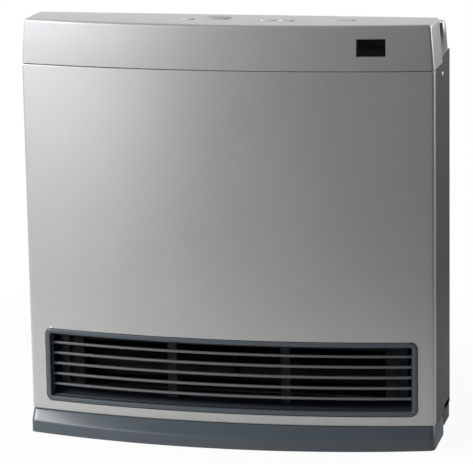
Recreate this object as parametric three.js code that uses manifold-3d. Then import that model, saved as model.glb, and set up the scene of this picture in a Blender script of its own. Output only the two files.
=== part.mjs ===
// Slim gas convector heater: a bowed steel front panel over a moulded plinth, a drafted
// control cover on top, five fixed outlet blades, and behind them a cross-flow fan under a
// sheet-metal combustion chamber.
//
// Millimetres, +Z up, the front faces -Y and +X is at the viewer's right.
// The origin lies on the floor, under the middle of the heater's overall box.

import * as THREE from 'three';
import { mergeVertices } from 'three/addons/utils/BufferGeometryUtils.js';
import Module from 'manifold-3d';

const wasm = await Module();
wasm.setup();

// ---------------------------------------------------------------------------------------
// Driving dimensions
// ---------------------------------------------------------------------------------------

// Cabinet
const cabinetWidth = 460;
const cabinetHeight = 472;
const sideDepth = 114;
const panelBow = 25.4;
const seatGap = 0.3;
const sheetWall = 1.2;
const mouldedWall = 2.5;

// Plinth
const plinthBow = 38;
const plinthHeight = 26.7;
const plinthRidgeHeight = 14;
const plinthSideDepth = 67.5;
const plinthCornerRadius = 7;
const plinthSideInset = 0.5;
const plinthLedgeHeight = 23.7;
const plinthLedgeWidth = 2.6;
const plinthRimLift = 0.8;
const plinthRibWall = 2;
const plinthRibReach = 12;
const plinthRibInset = 1;
const plinthRibSpacing = 92;

// Feet
const footRadius = 11;
const footRimInset = 1.5;
const footRimHeight = 1;
const footHeight = 3.6;
const footEndDistance = 44;
const frontFootInset = 22;
const rearFootInset = 15;
const stubFootRadius = 11;
const stubFootInset = 16;

// Front panel
const panelReturn = 8;
const panelCornerRadius = 4;
const panelLip = 12;
const seamGap = 0.6;
const seamRise = 8;

// Top cover
const coverHeight = 51;
const coverDepth = 57;
const coverDraft = 4;
const coverEdgeRadius = 2.4;
const coverBackLip = 13;
const bossRadius = 3.6;

// Rear top cover
const rearTopFrontDrop = 5;
const rearTopBackDrop = 10.5;
const rearTopEdgeRadius = 6;
const filterPocketDepth = 7.5;

// Side panels
const sidePanelInset = 0.9;
const sideGroove = 1.4;
const sideFlange = 10;
const sideBottomHeight = 24;
const sideNotchHeight = 31;
const sideNotchRadius = 3;
const sideScrewDepth = 58.5;
const sideScrewDrop = 13;
const screwHeadRadius = 4;
const screwHeadHeight = 1.2;
const screwShankRadius = 1.8;
const screwShankLength = 7;
const screwClearance = 0.4;

// Rear lower cover
const rearCoverLift = 7.5;
const rearCoverCornerRadius = 5;

// Rear casing
const casingRim = 14;
const spineWidth = 30;
const pocketEndDistance = 20.6;
const pocketBottom = 150;
const pocketLip = 4;
const inletColumns = 4;
const inletRows = 6;
const inletSlotLength = 37;
const inletSlotHeight = 14;
const inletPitchX = 43;
const inletPitchZ = 27;
const inletFirstHeight = 180;
const keyholeSpacing = 300;
const keyholeHeight = 124;
const keyholeRadius = 5;
const keyholeSlotWidth = 5;
const keyholeSlotRise = 12;

// Filters
const filterHeight = 200;
const filterThickness = 5;
const filterBorder = 6;
const filterBar = 1.6;
const filterColumns = 4;
const filterRows = 4;
const filterClearance = 0.4;
const filterTabWidth = 46;
const filterTabHeight = 11;

// Display
const displayEndDistance = 66.6;
const displayRise = 25.8;
const displayWidth = 30.4;
const displayHeight = 18.4;
const displayCornerRadius = 1.2;
const displayRecess = 0.5;
const displayLensThickness = 2;
const displayBlockDepth = 6;
const boardThickness = 1.6;
const displayBoardMargin = 5;

// Buttons: centre from the middle, set back from the panel's corner plane, and cap size
const buttonTravel = 1.2;
const buttonProud = 0.8;
const buttonFlange = 1.5;
const buttonFlangeThickness = 1.2;
const buttonEdge = 0.6;
const buttonStemRadius = 2;
const buttonClearance = 0.3;
const switchHeight = 4;
const switchSize = 6;
const buttonSizes = {
  button_power: { x: -12, setBack: 27, width: 27, depth: 17 },
  button_cooler: { x: 46, setBack: 15, width: 16.5, depth: 9 },
  button_warmer: { x: 66.5, setBack: 15, width: 16.5, depth: 9 },
  button_timer: { x: 129, setBack: 24, width: 24, depth: 9 },
  button_lock: { x: -43, setBack: 15, width: 13, depth: 8 },
};
const switchBoardMargin = 10;

// Outlet louvre
const louvreEndMargin = 18.5;
const louvreHeight = 84;
const louvreBottom = 38;
const louvreCornerRadius = 8;
const bezelWidth = 5.5;
const bezelDepth = 5;
const bezelProud = 0.5;
const tunnelCornerRadius = 4;
const tunnelWall = 2;
const tunnelDepth = 20;
const scoopRise = 9;
const scoopLip = 1.5;
const outletHeight = 62;
const bladeCount = 5;
const bladePitch = 12;
const lowestBladeHeight = 55.6;
const bladeThickness = 2.6;
const bladeEdge = 0.7;
const bladeSetBack = 5.5;
const bladeDepth = 11;
const bladeEndClearance = 0.4;
const stayWidth = 11;
const stayThickness = 2.4;
const stayEndGap = 13;
const stayCount = 4;
const stayFingerReach = 4;

// Fan
const fanRadius = 33;
const fanAxisHeight = 84;
const fanAxisSetBack = 61;
const fanBladeCount = 24;
const fanBladeChord = 8.5;
const fanBladeThickness = 1.1;
const fanBladeSweep = 0.26;
const fanDiscThickness = 1.6;
const fanDiscCount = 3;
const fanEndGap = 5;
const fanHubRadius = 9;
const fanHubLength = 14;
const stubShaftRadius = 4;
const stubShaftClearance = 0.1;
const shaftChamfer = 0.5;
const shaftEndInset = 1;
const bearingRadius = 8.5;
const bearingLength = 9;
const bearingFlangeReach = 4;
const bearingFlangeThickness = 2;
const bearingTaper = 2;
const motorRadius = 29;
const motorLength = 36;
const motorDishDepth = 3;
const motorNoseShare = 0.35;
const motorDishShare = 0.4;
const motorRimShare = 0.82;
const motorShaftShare = 0.6;
const motorBoreShare = 0.65;
const motorEar = 9;
const motorEarThickness = 3;
const motorEarCorner = 4;
const motorBoltCircle = 34;
const scrollGapTop = 8;
const scrollGapBottom = 3.5;
const scrollTurns = 16;
const scrollStartAngle = 0.62;
const scrollEndAngle = -Math.PI * 0.56;
const scrollIntakeLean = 2;
const scrollIntakeRise = 28;
const tongueGap = 3;
const tongueRadius = 4;
const tongueAngle = 0.5;
const tongueTopLean = 6;
const tongueTopRise = 34;

// Chassis
const partitionBay = 55;
const partitionHeadroom = 20.5;
const partitionFlange = 12;
const chassisFlange = 6;
const chassisSideInset = 4.6;
const railHeight = 14;
const railDepth = 40;

// Combustion chamber and burner
const chamberBottom = 186;
const chamberHeight = 142;
const chamberDepth = 46;
const chamberSetBack = 44;
const chamberEndGap = 40;
const chamberSlotCount = 9;
const chamberSlotWidth = 20;
const chamberSlotDepth = 14;
const burnerHeight = 26;
const burnerWidth = 18;
const burnerLift = 14;
const burnerEndGap = 12;
const burnerSlotCount = 16;
const burnerSlotWidth = 3;
const burnerSlotDepth = 7;
const burnerNeckRadius = 7;
const burnerNeckWall = 1.5;
const burnerMouthInset = 4;
const burnerRootRadius = 6;
const burnerCrownRadius = 2;
const burnerTaper = 3;
const burnerSlotSink = 3;

// Gas train
const gasPipeRadius = 4;
const inletRecessWidth = 36;
const inletRecessHeight = 52;
const inletRecessDepth = 28;
const inletRecessBottom = 46;
const inletHexRadius = 10;
const inletHexLength = 6;
const inletNippleRadius = 6.5;
const inletNippleLength = 18;
const inletNippleBore = 3.5;
const nippleBarbLength = 3;
const nippleBarbHeight = 1;
const nippleChamfer = 0.5;
const valveWidth = 30;
const valveDepth = 42;
const valveHeight = 56;
const valveStandOff = 4;
const valveLift = 6;
const valveCorner = 3;
const valveFootShares = [0.2, 0.8];
const valveFootHalfDepth = 6;
const valveFootHalfHeight = 4;
const solenoidRadius = 9;
const solenoidLength = 20;
const solenoidGap = 1.5;
const injectorRadius = 3;
const pipeLowerDrop = 34;
const pipeUpperDrop = 22;

// Electrics
const cordRecessWidth = 30;
const cordRecessHeight = 26;
const cordRecessDepth = 9;
const cordRecessHeightAboveFloor = 128;
const glandRadius = 8;
const glandFlangeThickness = 2.5;
const glandNeckRadius = 5.2;
const glandBoreRadius = 3.6;
const glandNeckReach = 2;
const glandCrownHeight = 1;
const glandCrownInset = 2;
const controlBoardDepth = 66;
const controlBoardHeadroom = 36.5;
const boardPostInset = 6;
const boardPostRadius = 3;
const boardPostSides = 10;
const boardSink = 0.5;
// What stands on the control board. Along the board's depth it is in millimetres, and up and
// height are shares of the board's height.
const controlBoardBlocks = [
  { along: 10, up: 0.109375, depth: 18, height: 0.171875, thickness: 14 },
  { along: 36, up: 0.109375, depth: 20, height: 0.09375, thickness: 10 },
  { along: 14, up: 0.375, depth: 34, height: 0.078125, thickness: 4 },
  { along: 44, up: 0.5625, depth: 12, height: 0.265625, thickness: 16 },
];
const controlBoardCans = [
  { along: 22, up: 0.65625, radius: 7, length: 18 },
  { along: 20, up: 0.84375, radius: 5, length: 14 },
];
const boardCanSides = 14;
const controlBoardStandOff = 8;
const controlBoardBottom = 236;
const transformerSize = 32;
const transformerBottom = 134;
const transformerCoreShare = 0.8;
const coilInset = 4;
const coilOverhang = 6;
const coilHeadroom = 5;
const coilCorner = 4;
const igniterHeight = 34;
const igniterBottom = 190;
const igniterWidth = 26;
const igniterDepth = 44;
const igniterPostInset = 12;
const igniterPostRadius = 2.5;
const igniterPostRise = 7;
const igniterPostSides = 10;
const ceramicRadius = 3;
const electrodeRadius = 1;
const electrodeReach = 16;
const electrodeShare = 0.55;
const electrodeLift = 8;
const electrodeTail = 22;
const ceramicTail = 18;
const ceramicCollarThickness = 2;
const ceramicCollarReach = 2.5;
const ceramicNose = 6;
const ceramicTaper = 0.8;

// Facet counts
const bowSegments = 14;
const filletSegments = 3;
const roundSegments = 20;
const mediumSegments = 16;
const smallSegments = 12;
const wireSegments = 8;

// ---------------------------------------------------------------------------------------
// Planes and surfaces worked out from the driving dimensions
// ---------------------------------------------------------------------------------------

const halfWidth = cabinetWidth / 2;
const seamHeight = cabinetHeight - coverHeight;
const footSpreadX = cabinetWidth - 2 * footEndDistance;
const louvreWidth = cabinetWidth - 2 * louvreEndMargin;
const displayCentreX = halfWidth - displayEndDistance;
const displayCentreZ = seamHeight + displayRise;
const sideScrewHeight = seamHeight - sideScrewDrop;
const wallY = (sideDepth + plinthBow) / 2;
const cornerY = wallY - sideDepth;
const beyond = 5;

// A bow is one arc in plan. It is a distance behind its apex at x = 0.
function makeBow(radius, apexY) {
  return {
    radius,
    apexY,
    yAt: (x) => apexY + radius - Math.sqrt(radius ** 2 - x ** 2),
    inset: (distance) => makeBow(radius - distance, apexY + distance),
  };
}

function bowThrough(half, rise) {
  return makeBow((half ** 2 + rise ** 2) / (2 * rise), cornerY - rise);
}

const panelFace = bowThrough(halfWidth, panelBow);
const plinthHalfWidth = halfWidth - plinthSideInset;
const plinthFace = bowThrough(plinthHalfWidth, plinthBow);
const plinthTopFace = bowThrough(plinthHalfWidth, panelBow);

const panelBottom = plinthHeight + seatGap;
const coverBackY = cornerY + coverDepth;
const panelBackY = cornerY + panelReturn;
const pocketFloorY = wallY - filterPocketDepth;
const casingInnerY = pocketFloorY - mouldedWall;
const sideOuterX = halfWidth - sidePanelInset;
const sideInnerX = sideOuterX - sheetWall;
const chassisFloorZ = plinthHeight + seatGap;
const partitionX = halfWidth - partitionBay;
const fanAxisY = cornerY + fanAxisSetBack;
const tunnelBackY = cornerY + tunnelDepth;

// Height of the seam between the covers and the side panels
function seamAt(y) {
  const along = Math.max(0, y - panelBackY) / (wallY - panelBackY);
  return seamHeight + along * seamRise;
}

// ---------------------------------------------------------------------------------------
// Outlines
// ---------------------------------------------------------------------------------------

function corner(x, y, radius = 0) {
  return { x, y, radius };
}

// Turns corners, some of them with a radius, into the points of a closed outline.
function filleted(corners) {
  const points = [];
  corners.forEach((here, index) => {
    const before = corners[(index + corners.length - 1) % corners.length];
    const after = corners[(index + 1) % corners.length];
    if (here.radius === 0) {
      points.push(new THREE.Vector2(here.x, here.y));
      return;
    }
    const toBefore = new THREE.Vector2(before.x - here.x, before.y - here.y).normalize();
    const toAfter = new THREE.Vector2(after.x - here.x, after.y - here.y).normalize();
    const halfAngle = Math.acos(THREE.MathUtils.clamp(toBefore.dot(toAfter), -1, 1)) / 2;
    const middle = toBefore.clone().add(toAfter).normalize();
    const centre = middle.multiplyScalar(here.radius / Math.sin(halfAngle));
    const reach = here.radius / Math.tan(halfAngle);
    const start = toBefore.multiplyScalar(reach).sub(centre);
    const end = toAfter.multiplyScalar(reach).sub(centre);
    const turn = Math.atan2(start.cross(end), start.dot(end));
    for (let step = 0; step <= filletSegments; step += 1) {
      const spoke = start.clone().rotateAround(new THREE.Vector2(), (turn * step) / filletSegments);
      points.push(new THREE.Vector2(here.x, here.y).add(centre).add(spoke));
    }
  });
  return points;
}

function rectangle(x0, y0, x1, y1, radius = 0) {
  return filleted([
    corner(x0, y0, radius),
    corner(x1, y0, radius),
    corner(x1, y1, radius),
    corner(x0, y1, radius),
  ]);
}

function circle(centreX, centreY, radius, segments = roundSegments) {
  const angles = Array.from({ length: segments }, (_, step) => (2 * Math.PI * step) / segments);
  return angles.map((angle) => new THREE.Vector2(
    centreX + radius * Math.cos(angle),
    centreY + radius * Math.sin(angle),
  ));
}

// A slot with round ends, longer along x
function stadium(centreX, centreY, width, depth) {
  const radius = depth / 2;
  const reach = width / 2 - radius;
  const steps = 2 * filletSegments;
  const halfTurn = (middleX, startAngle) => Array.from({ length: steps + 1 }, (_, step) => {
    const angle = startAngle + (Math.PI * step) / steps;
    return new THREE.Vector2(middleX + radius * Math.cos(angle), centreY + radius * Math.sin(angle));
  });
  return [
    ...halfTurn(centreX + reach, -Math.PI / 2),
    ...halfTurn(centreX - reach, Math.PI / 2),
  ];
}

// Plan outline with a bowed front and a straight back
function bowedPlan(bow, half, backY, frontRadius, backRadius = 0) {
  const arc = [];
  for (let step = 1; step < bowSegments; step += 1) {
    const x = -half + (2 * half * step) / bowSegments;
    arc.push(corner(x, bow.yAt(x)));
  }
  return filleted([
    corner(-half, backY, backRadius),
    corner(-half, bow.yAt(half), frontRadius),
    ...arc,
    corner(half, bow.yAt(half), frontRadius),
    corner(half, backY, backRadius),
  ]);
}

// Closed outline of a strip that follows a line and has the same thickness all along
function ribbon(line, thickness) {
  const far = line.map((point, index) => {
    const before = line[Math.max(index - 1, 0)];
    const after = line[Math.min(index + 1, line.length - 1)];
    const side = new THREE.Vector2(before.y - after.y, after.x - before.x).normalize();
    return point.clone().addScaledVector(side, thickness);
  });
  return [...line, ...far.reverse()];
}

// ---------------------------------------------------------------------------------------
// Solids
// ---------------------------------------------------------------------------------------

function solidFrom(geometry) {
  const bare = geometry.index ? geometry.clone() : geometry;
  bare.deleteAttribute('normal');
  bare.deleteAttribute('uv');
  const merged = mergeVertices(bare, 1e-4);
  return new wasm.Manifold(new wasm.Mesh({
    numProp: 3,
    vertProperties: new Float32Array(merged.attributes.position.array),
    triVerts: new Uint32Array(merged.index.array),
  }));
}

function geometryFrom(solid) {
  const mesh = solid.getMesh();
  const geometry = new THREE.BufferGeometry();
  geometry.setAttribute('position', new THREE.BufferAttribute(new Float32Array(mesh.vertProperties), 3));
  geometry.setIndex(new THREE.BufferAttribute(new Uint32Array(mesh.triVerts), 1));
  geometry.computeVertexNormals();
  return geometry;
}

const join = (first, ...others) => others.reduce((whole, other) => whole.add(other), first);
const cut = (first, ...others) => others.reduce((whole, other) => whole.subtract(other), first);
const common = (first, ...others) => others.reduce((whole, other) => whole.intersect(other), first);

function extruded(points, length, edge = 0, edgeSegments = 2) {
  return new THREE.ExtrudeGeometry(new THREE.Shape(points), {
    depth: length - 2 * edge,
    steps: 1,
    bevelEnabled: edge > 0,
    bevelThickness: edge,
    bevelSize: edge,
    bevelOffset: -edge,
    bevelSegments: edgeSegments,
  }).translate(0, 0, edge);
}

// Points are (x, y) and the solid rises from z0 to z1.
function raisedGeometry(points, z0, z1, edge = 0, edgeSegments = 2) {
  return extruded(points, z1 - z0, edge, edgeSegments).translate(0, 0, z0);
}

function raised(points, z0, z1, edge = 0, edgeSegments = 2) {
  return solidFrom(raisedGeometry(points, z0, z1, edge, edgeSegments));
}

// Points are (x, z) and the solid runs back from y0 to y1.
function runBack(points, y0, y1, edge = 0) {
  return solidFrom(extruded(points, y1 - y0, edge).rotateX(Math.PI / 2).translate(0, y1, 0));
}

// Points are (y, z) and the solid runs across from x0 to x1.
const acrossTurn = new THREE.Matrix4().set(0, 0, 1, 0, 1, 0, 0, 0, 0, 1, 0, 0, 0, 0, 0, 1);

function acrossGeometry(points, x0, x1, edge = 0) {
  return extruded(points, x1 - x0, edge).applyMatrix4(acrossTurn).translate(x0, 0, 0);
}

function across(points, x0, x1, edge = 0) {
  return solidFrom(acrossGeometry(points, x0, x1, edge));
}

function box(x0, x1, y0, y1, z0, z1) {
  const geometry = new THREE.BoxGeometry(x1 - x0, y1 - y0, z1 - z0);
  return solidFrom(geometry.translate((x0 + x1) / 2, (y0 + y1) / 2, (z0 + z1) / 2));
}

// Skin between rings of equal point count, one ring at each height, closed at both ends
function lofted(rings, heights) {
  const count = rings[0].length;
  const vertices = rings.flatMap((ring, level) => ring.flatMap((p) => [p.x, p.y, heights[level]]));
  const caps = THREE.ShapeUtils.triangulateShape(rings[0], []);
  const top = (rings.length - 1) * count;
  const faces = caps.flatMap(([a, b, c]) => [a, c, b, top + a, top + b, top + c]);
  for (let level = 0; level + 1 < rings.length; level += 1) {
    for (let step = 0; step < count; step += 1) {
      const a = level * count + step;
      const b = level * count + ((step + 1) % count);
      faces.push(a, b, b + count, a, b + count, a + count);
    }
  }
  const geometry = new THREE.BufferGeometry();
  geometry.setAttribute('position', new THREE.Float32BufferAttribute(vertices, 3));
  geometry.setIndex(faces);
  return solidFrom(geometry);
}

// Body of revolution about +X, from [distance along x, radius] pairs
function turnedAlongX(profile, segments = roundSegments) {
  const points = profile.map(([along, radius]) => new THREE.Vector2(radius, along));
  return solidFrom(new THREE.LatheGeometry(points, segments).rotateZ(-Math.PI / 2));
}

// Body of revolution about +Y, from [distance along y, radius] pairs
function turnedAlongY(profile, segments = roundSegments) {
  const points = profile.map(([along, radius]) => new THREE.Vector2(radius, along));
  return solidFrom(new THREE.LatheGeometry(points, segments));
}

// Body of revolution about +Z, from [height, radius] pairs
function turnedAlongZ(profile, segments = roundSegments) {
  const points = profile.map(([along, radius]) => new THREE.Vector2(radius, along));
  return solidFrom(new THREE.LatheGeometry(points, segments).rotateX(Math.PI / 2));
}

// Round tube along a path of points, with smooth bends
function tubeAlong(points, radius, steps) {
  const path = new THREE.CatmullRomCurve3(points.map((p) => new THREE.Vector3(...p)), false, 'centripetal');
  const section = new THREE.Shape(circle(0, 0, radius, wireSegments));
  return solidFrom(new THREE.ExtrudeGeometry(section, { extrudePath: path, steps, bevelEnabled: false }));
}

const shifted = (solid, x, y, z) => solid.translate([x, y, z]);

// ---------------------------------------------------------------------------------------
// Materials
// ---------------------------------------------------------------------------------------

function finish(color, roughness, metalness) {
  return new THREE.MeshStandardMaterial({ color, roughness, metalness });
}

const finishes = {
  silverPaint: finish(0xb9bab6, 0.38, 0.75),
  silverMoulding: finish(0xc0c2c0, 0.42, 0.6),
  slateMoulding: finish(0x55636d, 0.5, 0.1),
  charcoalMoulding: finish(0x2e3031, 0.6, 0.0),
  blackLens: finish(0x0d090a, 0.12, 0.0),
  darkButton: finish(0x3a3d40, 0.45, 0.1),
  lightButton: finish(0xd4d6d8, 0.45, 0.1),
  zincSteel: finish(0x9a9fa3, 0.45, 0.85),
  heatSteel: finish(0x7f7a74, 0.5, 0.85),
  fanPlastic: finish(0x3b4045, 0.55, 0.05),
  brass: finish(0xb9973f, 0.35, 0.9),
  castAlloy: finish(0xa8a9aa, 0.5, 0.8),
  brightSteel: finish(0xbfc3c6, 0.3, 0.9),
  circuitBoard: finish(0x2f6b3f, 0.6, 0.05),
  ceramic: finish(0xe9e5da, 0.35, 0.0),
  rubber: finish(0x1d1e1f, 0.9, 0.0),
  filterMesh: finish(0x4a4e52, 0.7, 0.0),
};

const heater = new THREE.Group();

function assembly(parent = heater) {
  const group = new THREE.Group();
  parent.add(group);
  return group;
}

function piece(group, name, solid, material, place = [0, 0, 0]) {
  const mesh = new THREE.Mesh(geometryFrom(solid), material);
  mesh.name = name;
  mesh.position.set(...place);
  group.add(mesh);
  return mesh;
}

// ---------------------------------------------------------------------------------------
// Plinth, feet and rear lower cover
// ---------------------------------------------------------------------------------------

const plinthBackY = cornerY + plinthSideDepth;
const frontFootY = plinthFace.yAt(footSpreadX / 2) + frontFootInset;
const rearFootY = plinthBackY - rearFootInset;

function plinthSolid() {
  const plan = (bow, inset) => bowedPlan(
    bow.inset(inset),
    plinthHalfWidth - inset,
    plinthBackY - inset,
    plinthCornerRadius - inset,
    plinthCornerRadius - inset,
  );
  const outer = lofted(
    [plan(plinthFace, 0), plan(plinthFace, 0), plan(plinthTopFace, 0)],
    [plinthRimLift, plinthRidgeHeight, plinthHeight],
  );
  const inner = lofted(
    [plan(plinthFace, mouldedWall), plan(plinthFace, mouldedWall), plan(plinthTopFace, mouldedWall)],
    [plinthRimLift - beyond, plinthRidgeHeight, plinthHeight - mouldedWall],
  );
  const core = lofted(
    [plan(plinthFace, plinthRibInset), plan(plinthFace, plinthRibInset), plan(plinthTopFace, plinthRibInset)],
    [plinthRimLift, plinthRidgeHeight, plinthHeight - plinthRibInset],
  );
  const ledge = (side) => box(
    side > 0 ? plinthHalfWidth - plinthLedgeWidth : -plinthHalfWidth - beyond,
    side > 0 ? plinthHalfWidth + beyond : -plinthHalfWidth + plinthLedgeWidth,
    cornerY - plinthBow,
    plinthBackY + beyond,
    plinthLedgeHeight,
    plinthHeight + beyond,
  );
  const ribs = [-2, -1, 0, 1, 2].map((place) => common(
    box(
      place * plinthRibSpacing - plinthRibWall / 2,
      place * plinthRibSpacing + plinthRibWall / 2,
      plinthFace.apexY,
      plinthBackY,
      plinthHeight - plinthRibReach,
      plinthHeight,
    ),
    core,
  ));
  const bosses = footPlaces.map(([x, y]) => raised(
    circle(x, y, footRadius, mediumSegments),
    footHeight + seatGap,
    plinthHeight - 1,
  ));
  return cut(join(cut(outer, inner), ...ribs, ...bosses), ledge(-1), ledge(1));
}

const footPlaces = [
  [-footSpreadX / 2, frontFootY],
  [footSpreadX / 2, frontFootY],
  [-footSpreadX / 2, rearFootY],
  [footSpreadX / 2, rearFootY],
];
const footNames = ['foot_front_left', 'foot_front_right', 'foot_rear_left', 'foot_rear_right'];

function footSolid() {
  return turnedAlongZ([
    [0, 0],
    [0, footRadius - footRimInset],
    [footRimHeight, footRadius],
    [footHeight, footRadius],
    [footHeight, 0],
  ], mediumSegments);
}

const rearCoverFrontY = plinthBackY + seatGap;

function rearLowerCoverSolid() {
  const topZ = sideNotchHeight - seatGap;
  const plan = (inset) => rectangle(
    -sideOuterX + inset,
    rearCoverFrontY + inset,
    sideOuterX - inset,
    wallY - inset,
    rearCoverCornerRadius - inset,
  );
  const shell = cut(
    raised(plan(0), rearCoverLift, topZ),
    raised(plan(mouldedWall), rearCoverLift + mouldedWall, topZ + beyond),
    // The side panels stand outside the front part of this cover.
    ...[-1, 1].map((side) => box(
      side > 0 ? plinthHalfWidth - plinthLedgeWidth : -halfWidth - beyond,
      side > 0 ? halfWidth + beyond : -plinthHalfWidth + plinthLedgeWidth,
      cornerY,
      sideNotchY + sideNotchRadius,
      plinthLedgeHeight,
      topZ + beyond,
    )),
    box(
      -sideOuterX + beyond,
      sideOuterX - beyond,
      cornerY,
      wallY - 2 * beyond,
      chassisFloorZ - seatGap,
      topZ + beyond,
    ),
  );
  const ribs = [-1.5, -0.5, 0.5, 1.5].map((place) => box(
    place * plinthRibSpacing - plinthRibWall / 2,
    place * plinthRibSpacing + plinthRibWall / 2,
    rearCoverFrontY + 1,
    wallY - 1,
    rearCoverLift + 1,
    chassisFloorZ - seatGap,
  ));
  const stubs = [-1, 1].map((side) => raised(
    circle((side * footSpreadX) / 2, wallY - stubFootInset, stubFootRadius),
    0,
    rearCoverLift + 1,
  ));
  return join(shell, ...ribs, ...stubs);
}

// ---------------------------------------------------------------------------------------
// Cabinet skins
// ---------------------------------------------------------------------------------------

const louvreCentreZ = louvreBottom + louvreHeight / 2;

function louvreOutline(grow, radius) {
  return rectangle(
    -louvreWidth / 2 - grow,
    louvreBottom - grow,
    louvreWidth / 2 + grow,
    louvreBottom + louvreHeight + grow,
    radius,
  );
}

function frontPanelSolid() {
  const plan = (inset, backY) => bowedPlan(
    panelFace.inset(inset),
    halfWidth - inset,
    backY,
    Math.max(panelCornerRadius - inset, 0.5),
  );
  const panelTop = seamHeight;
  return cut(
    raised(plan(0, panelBackY), panelBottom, panelTop),
    raised(plan(sheetWall, panelBackY + beyond), panelBottom + sheetWall, panelTop - sheetWall),
    raised(plan(panelLip, panelBackY + beyond), panelBottom - beyond, panelTop + beyond),
    runBack(louvreOutline(seatGap, louvreCornerRadius), panelFace.apexY - beyond, cornerY),
  );
}

// Draws a solid in toward the middle as it rises above the seam.
function drafted(geometry) {
  const narrowing = coverDraft / halfWidth;
  const position = geometry.attributes.position;
  for (let index = 0; index < position.count; index += 1) {
    const rise = (position.getZ(index) - seamHeight) / (cabinetHeight - seamHeight);
    position.setX(index, position.getX(index) * (1 - narrowing * rise));
  }
  return geometry;
}

const coverTop = cabinetHeight - buttonProud;
const coverUnderside = coverTop - mouldedWall;

// Everything under the seam line, as a block from side to side
function belowSeam(gap) {
  return across([
    new THREE.Vector2(cornerY - 2 * plinthBow, panelBottom),
    new THREE.Vector2(wallY + beyond, panelBottom),
    new THREE.Vector2(wallY + beyond, seamAt(wallY + beyond) + gap),
    new THREE.Vector2(panelBackY, seamHeight + gap),
    new THREE.Vector2(cornerY - 2 * plinthBow, seamHeight + gap),
  ], -cabinetWidth, cabinetWidth);
}

function buttonOutline({ x, setBack, width, depth }, grow) {
  return stadium(x, cornerY + setBack, width + 2 * grow, depth + 2 * grow);
}

const switchBoardTop = coverUnderside - buttonFlangeThickness - buttonTravel - switchHeight - buttonTravel;

function switchBoardEdges() {
  const all = Object.values(buttonSizes);
  return {
    x0: Math.min(...all.map((b) => b.x - b.width / 2)) - switchBoardMargin,
    x1: Math.max(...all.map((b) => b.x + b.width / 2)) + switchBoardMargin,
    y0: Math.min(...all.map((b) => cornerY + b.setBack - b.depth / 2)) - switchSize / 2,
    y1: Math.max(...all.map((b) => cornerY + b.setBack + b.depth / 2)) + switchSize / 2,
  };
}

function boardBossPlaces() {
  const { x0, x1, y0, y1 } = switchBoardEdges();
  const inset = bossRadius + 0.5;
  return [
    [x0 + inset, y0 + inset],
    [x1 - inset, y0 + inset],
    [x0 + inset, y1 - inset],
    [x1 - inset, y1 - inset],
  ];
}

function displayOutline(grow) {
  return rectangle(
    displayCentreX - displayWidth / 2 - grow,
    displayCentreZ - displayHeight / 2 - grow,
    displayCentreX + displayWidth / 2 + grow,
    displayCentreZ + displayHeight / 2 + grow,
    displayCornerRadius,
  );
}

function topCoverSolid() {
  const plan = (inset, backY) => bowedPlan(
    panelFace.inset(inset),
    halfWidth - inset,
    backY,
    panelCornerRadius - inset,
  );
  const startZ = seamHeight - 2 * beyond;
  const outer = solidFrom(drafted(raisedGeometry(plan(0, coverBackY), startZ, coverTop, coverEdgeRadius)));
  const inner = solidFrom(drafted(
    raisedGeometry(plan(mouldedWall, coverBackY - mouldedWall), startZ - beyond, coverUnderside),
  ));
  const backDoor = solidFrom(drafted(raisedGeometry(
    rectangle(-halfWidth + mouldedWall, coverBackY - 2 * mouldedWall, halfWidth - mouldedWall, coverBackY + beyond),
    startZ - beyond,
    coverTop - coverBackLip,
  )));
  const buttonHoles = Object.values(buttonSizes).map((size) => raised(
    buttonOutline(size, buttonClearance),
    coverUnderside - beyond,
    coverTop + beyond,
  ));
  const window = runBack(displayOutline(seatGap), panelFace.apexY - beyond, cornerY);
  const bosses = boardBossPlaces().map(([x, y]) => raised(
    circle(x, y, bossRadius, smallSegments),
    switchBoardTop + seatGap,
    coverUnderside + 1,
  ));
  const shell = join(cut(outer, inner, backDoor), ...bosses);
  return cut(shell, belowSeam(seamGap), window, ...buttonHoles);
}

const rearTopFrontY = coverBackY + seatGap;

function rearTopSolid() {
  const section = (inset, frontY) => filleted([
    corner(frontY, seamHeight - 2 * beyond),
    corner(pocketFloorY - inset, seamHeight - 2 * beyond),
    corner(pocketFloorY - inset, cabinetHeight - rearTopBackDrop - inset, rearTopEdgeRadius - inset),
    corner(frontY, cabinetHeight - rearTopFrontDrop - inset),
  ]);
  const outer = solidFrom(drafted(acrossGeometry(
    section(0, rearTopFrontY),
    -sideOuterX,
    sideOuterX,
    coverEdgeRadius,
  )));
  const inner = solidFrom(drafted(acrossGeometry(
    section(mouldedWall, rearTopFrontY - beyond),
    -sideOuterX + mouldedWall,
    sideOuterX - mouldedWall,
  )));
  return cut(outer, inner, belowSeam(seamGap));
}

const sideFrontY = panelBackY + sideGroove;
const sideNotchY = plinthBackY + 4;

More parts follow.
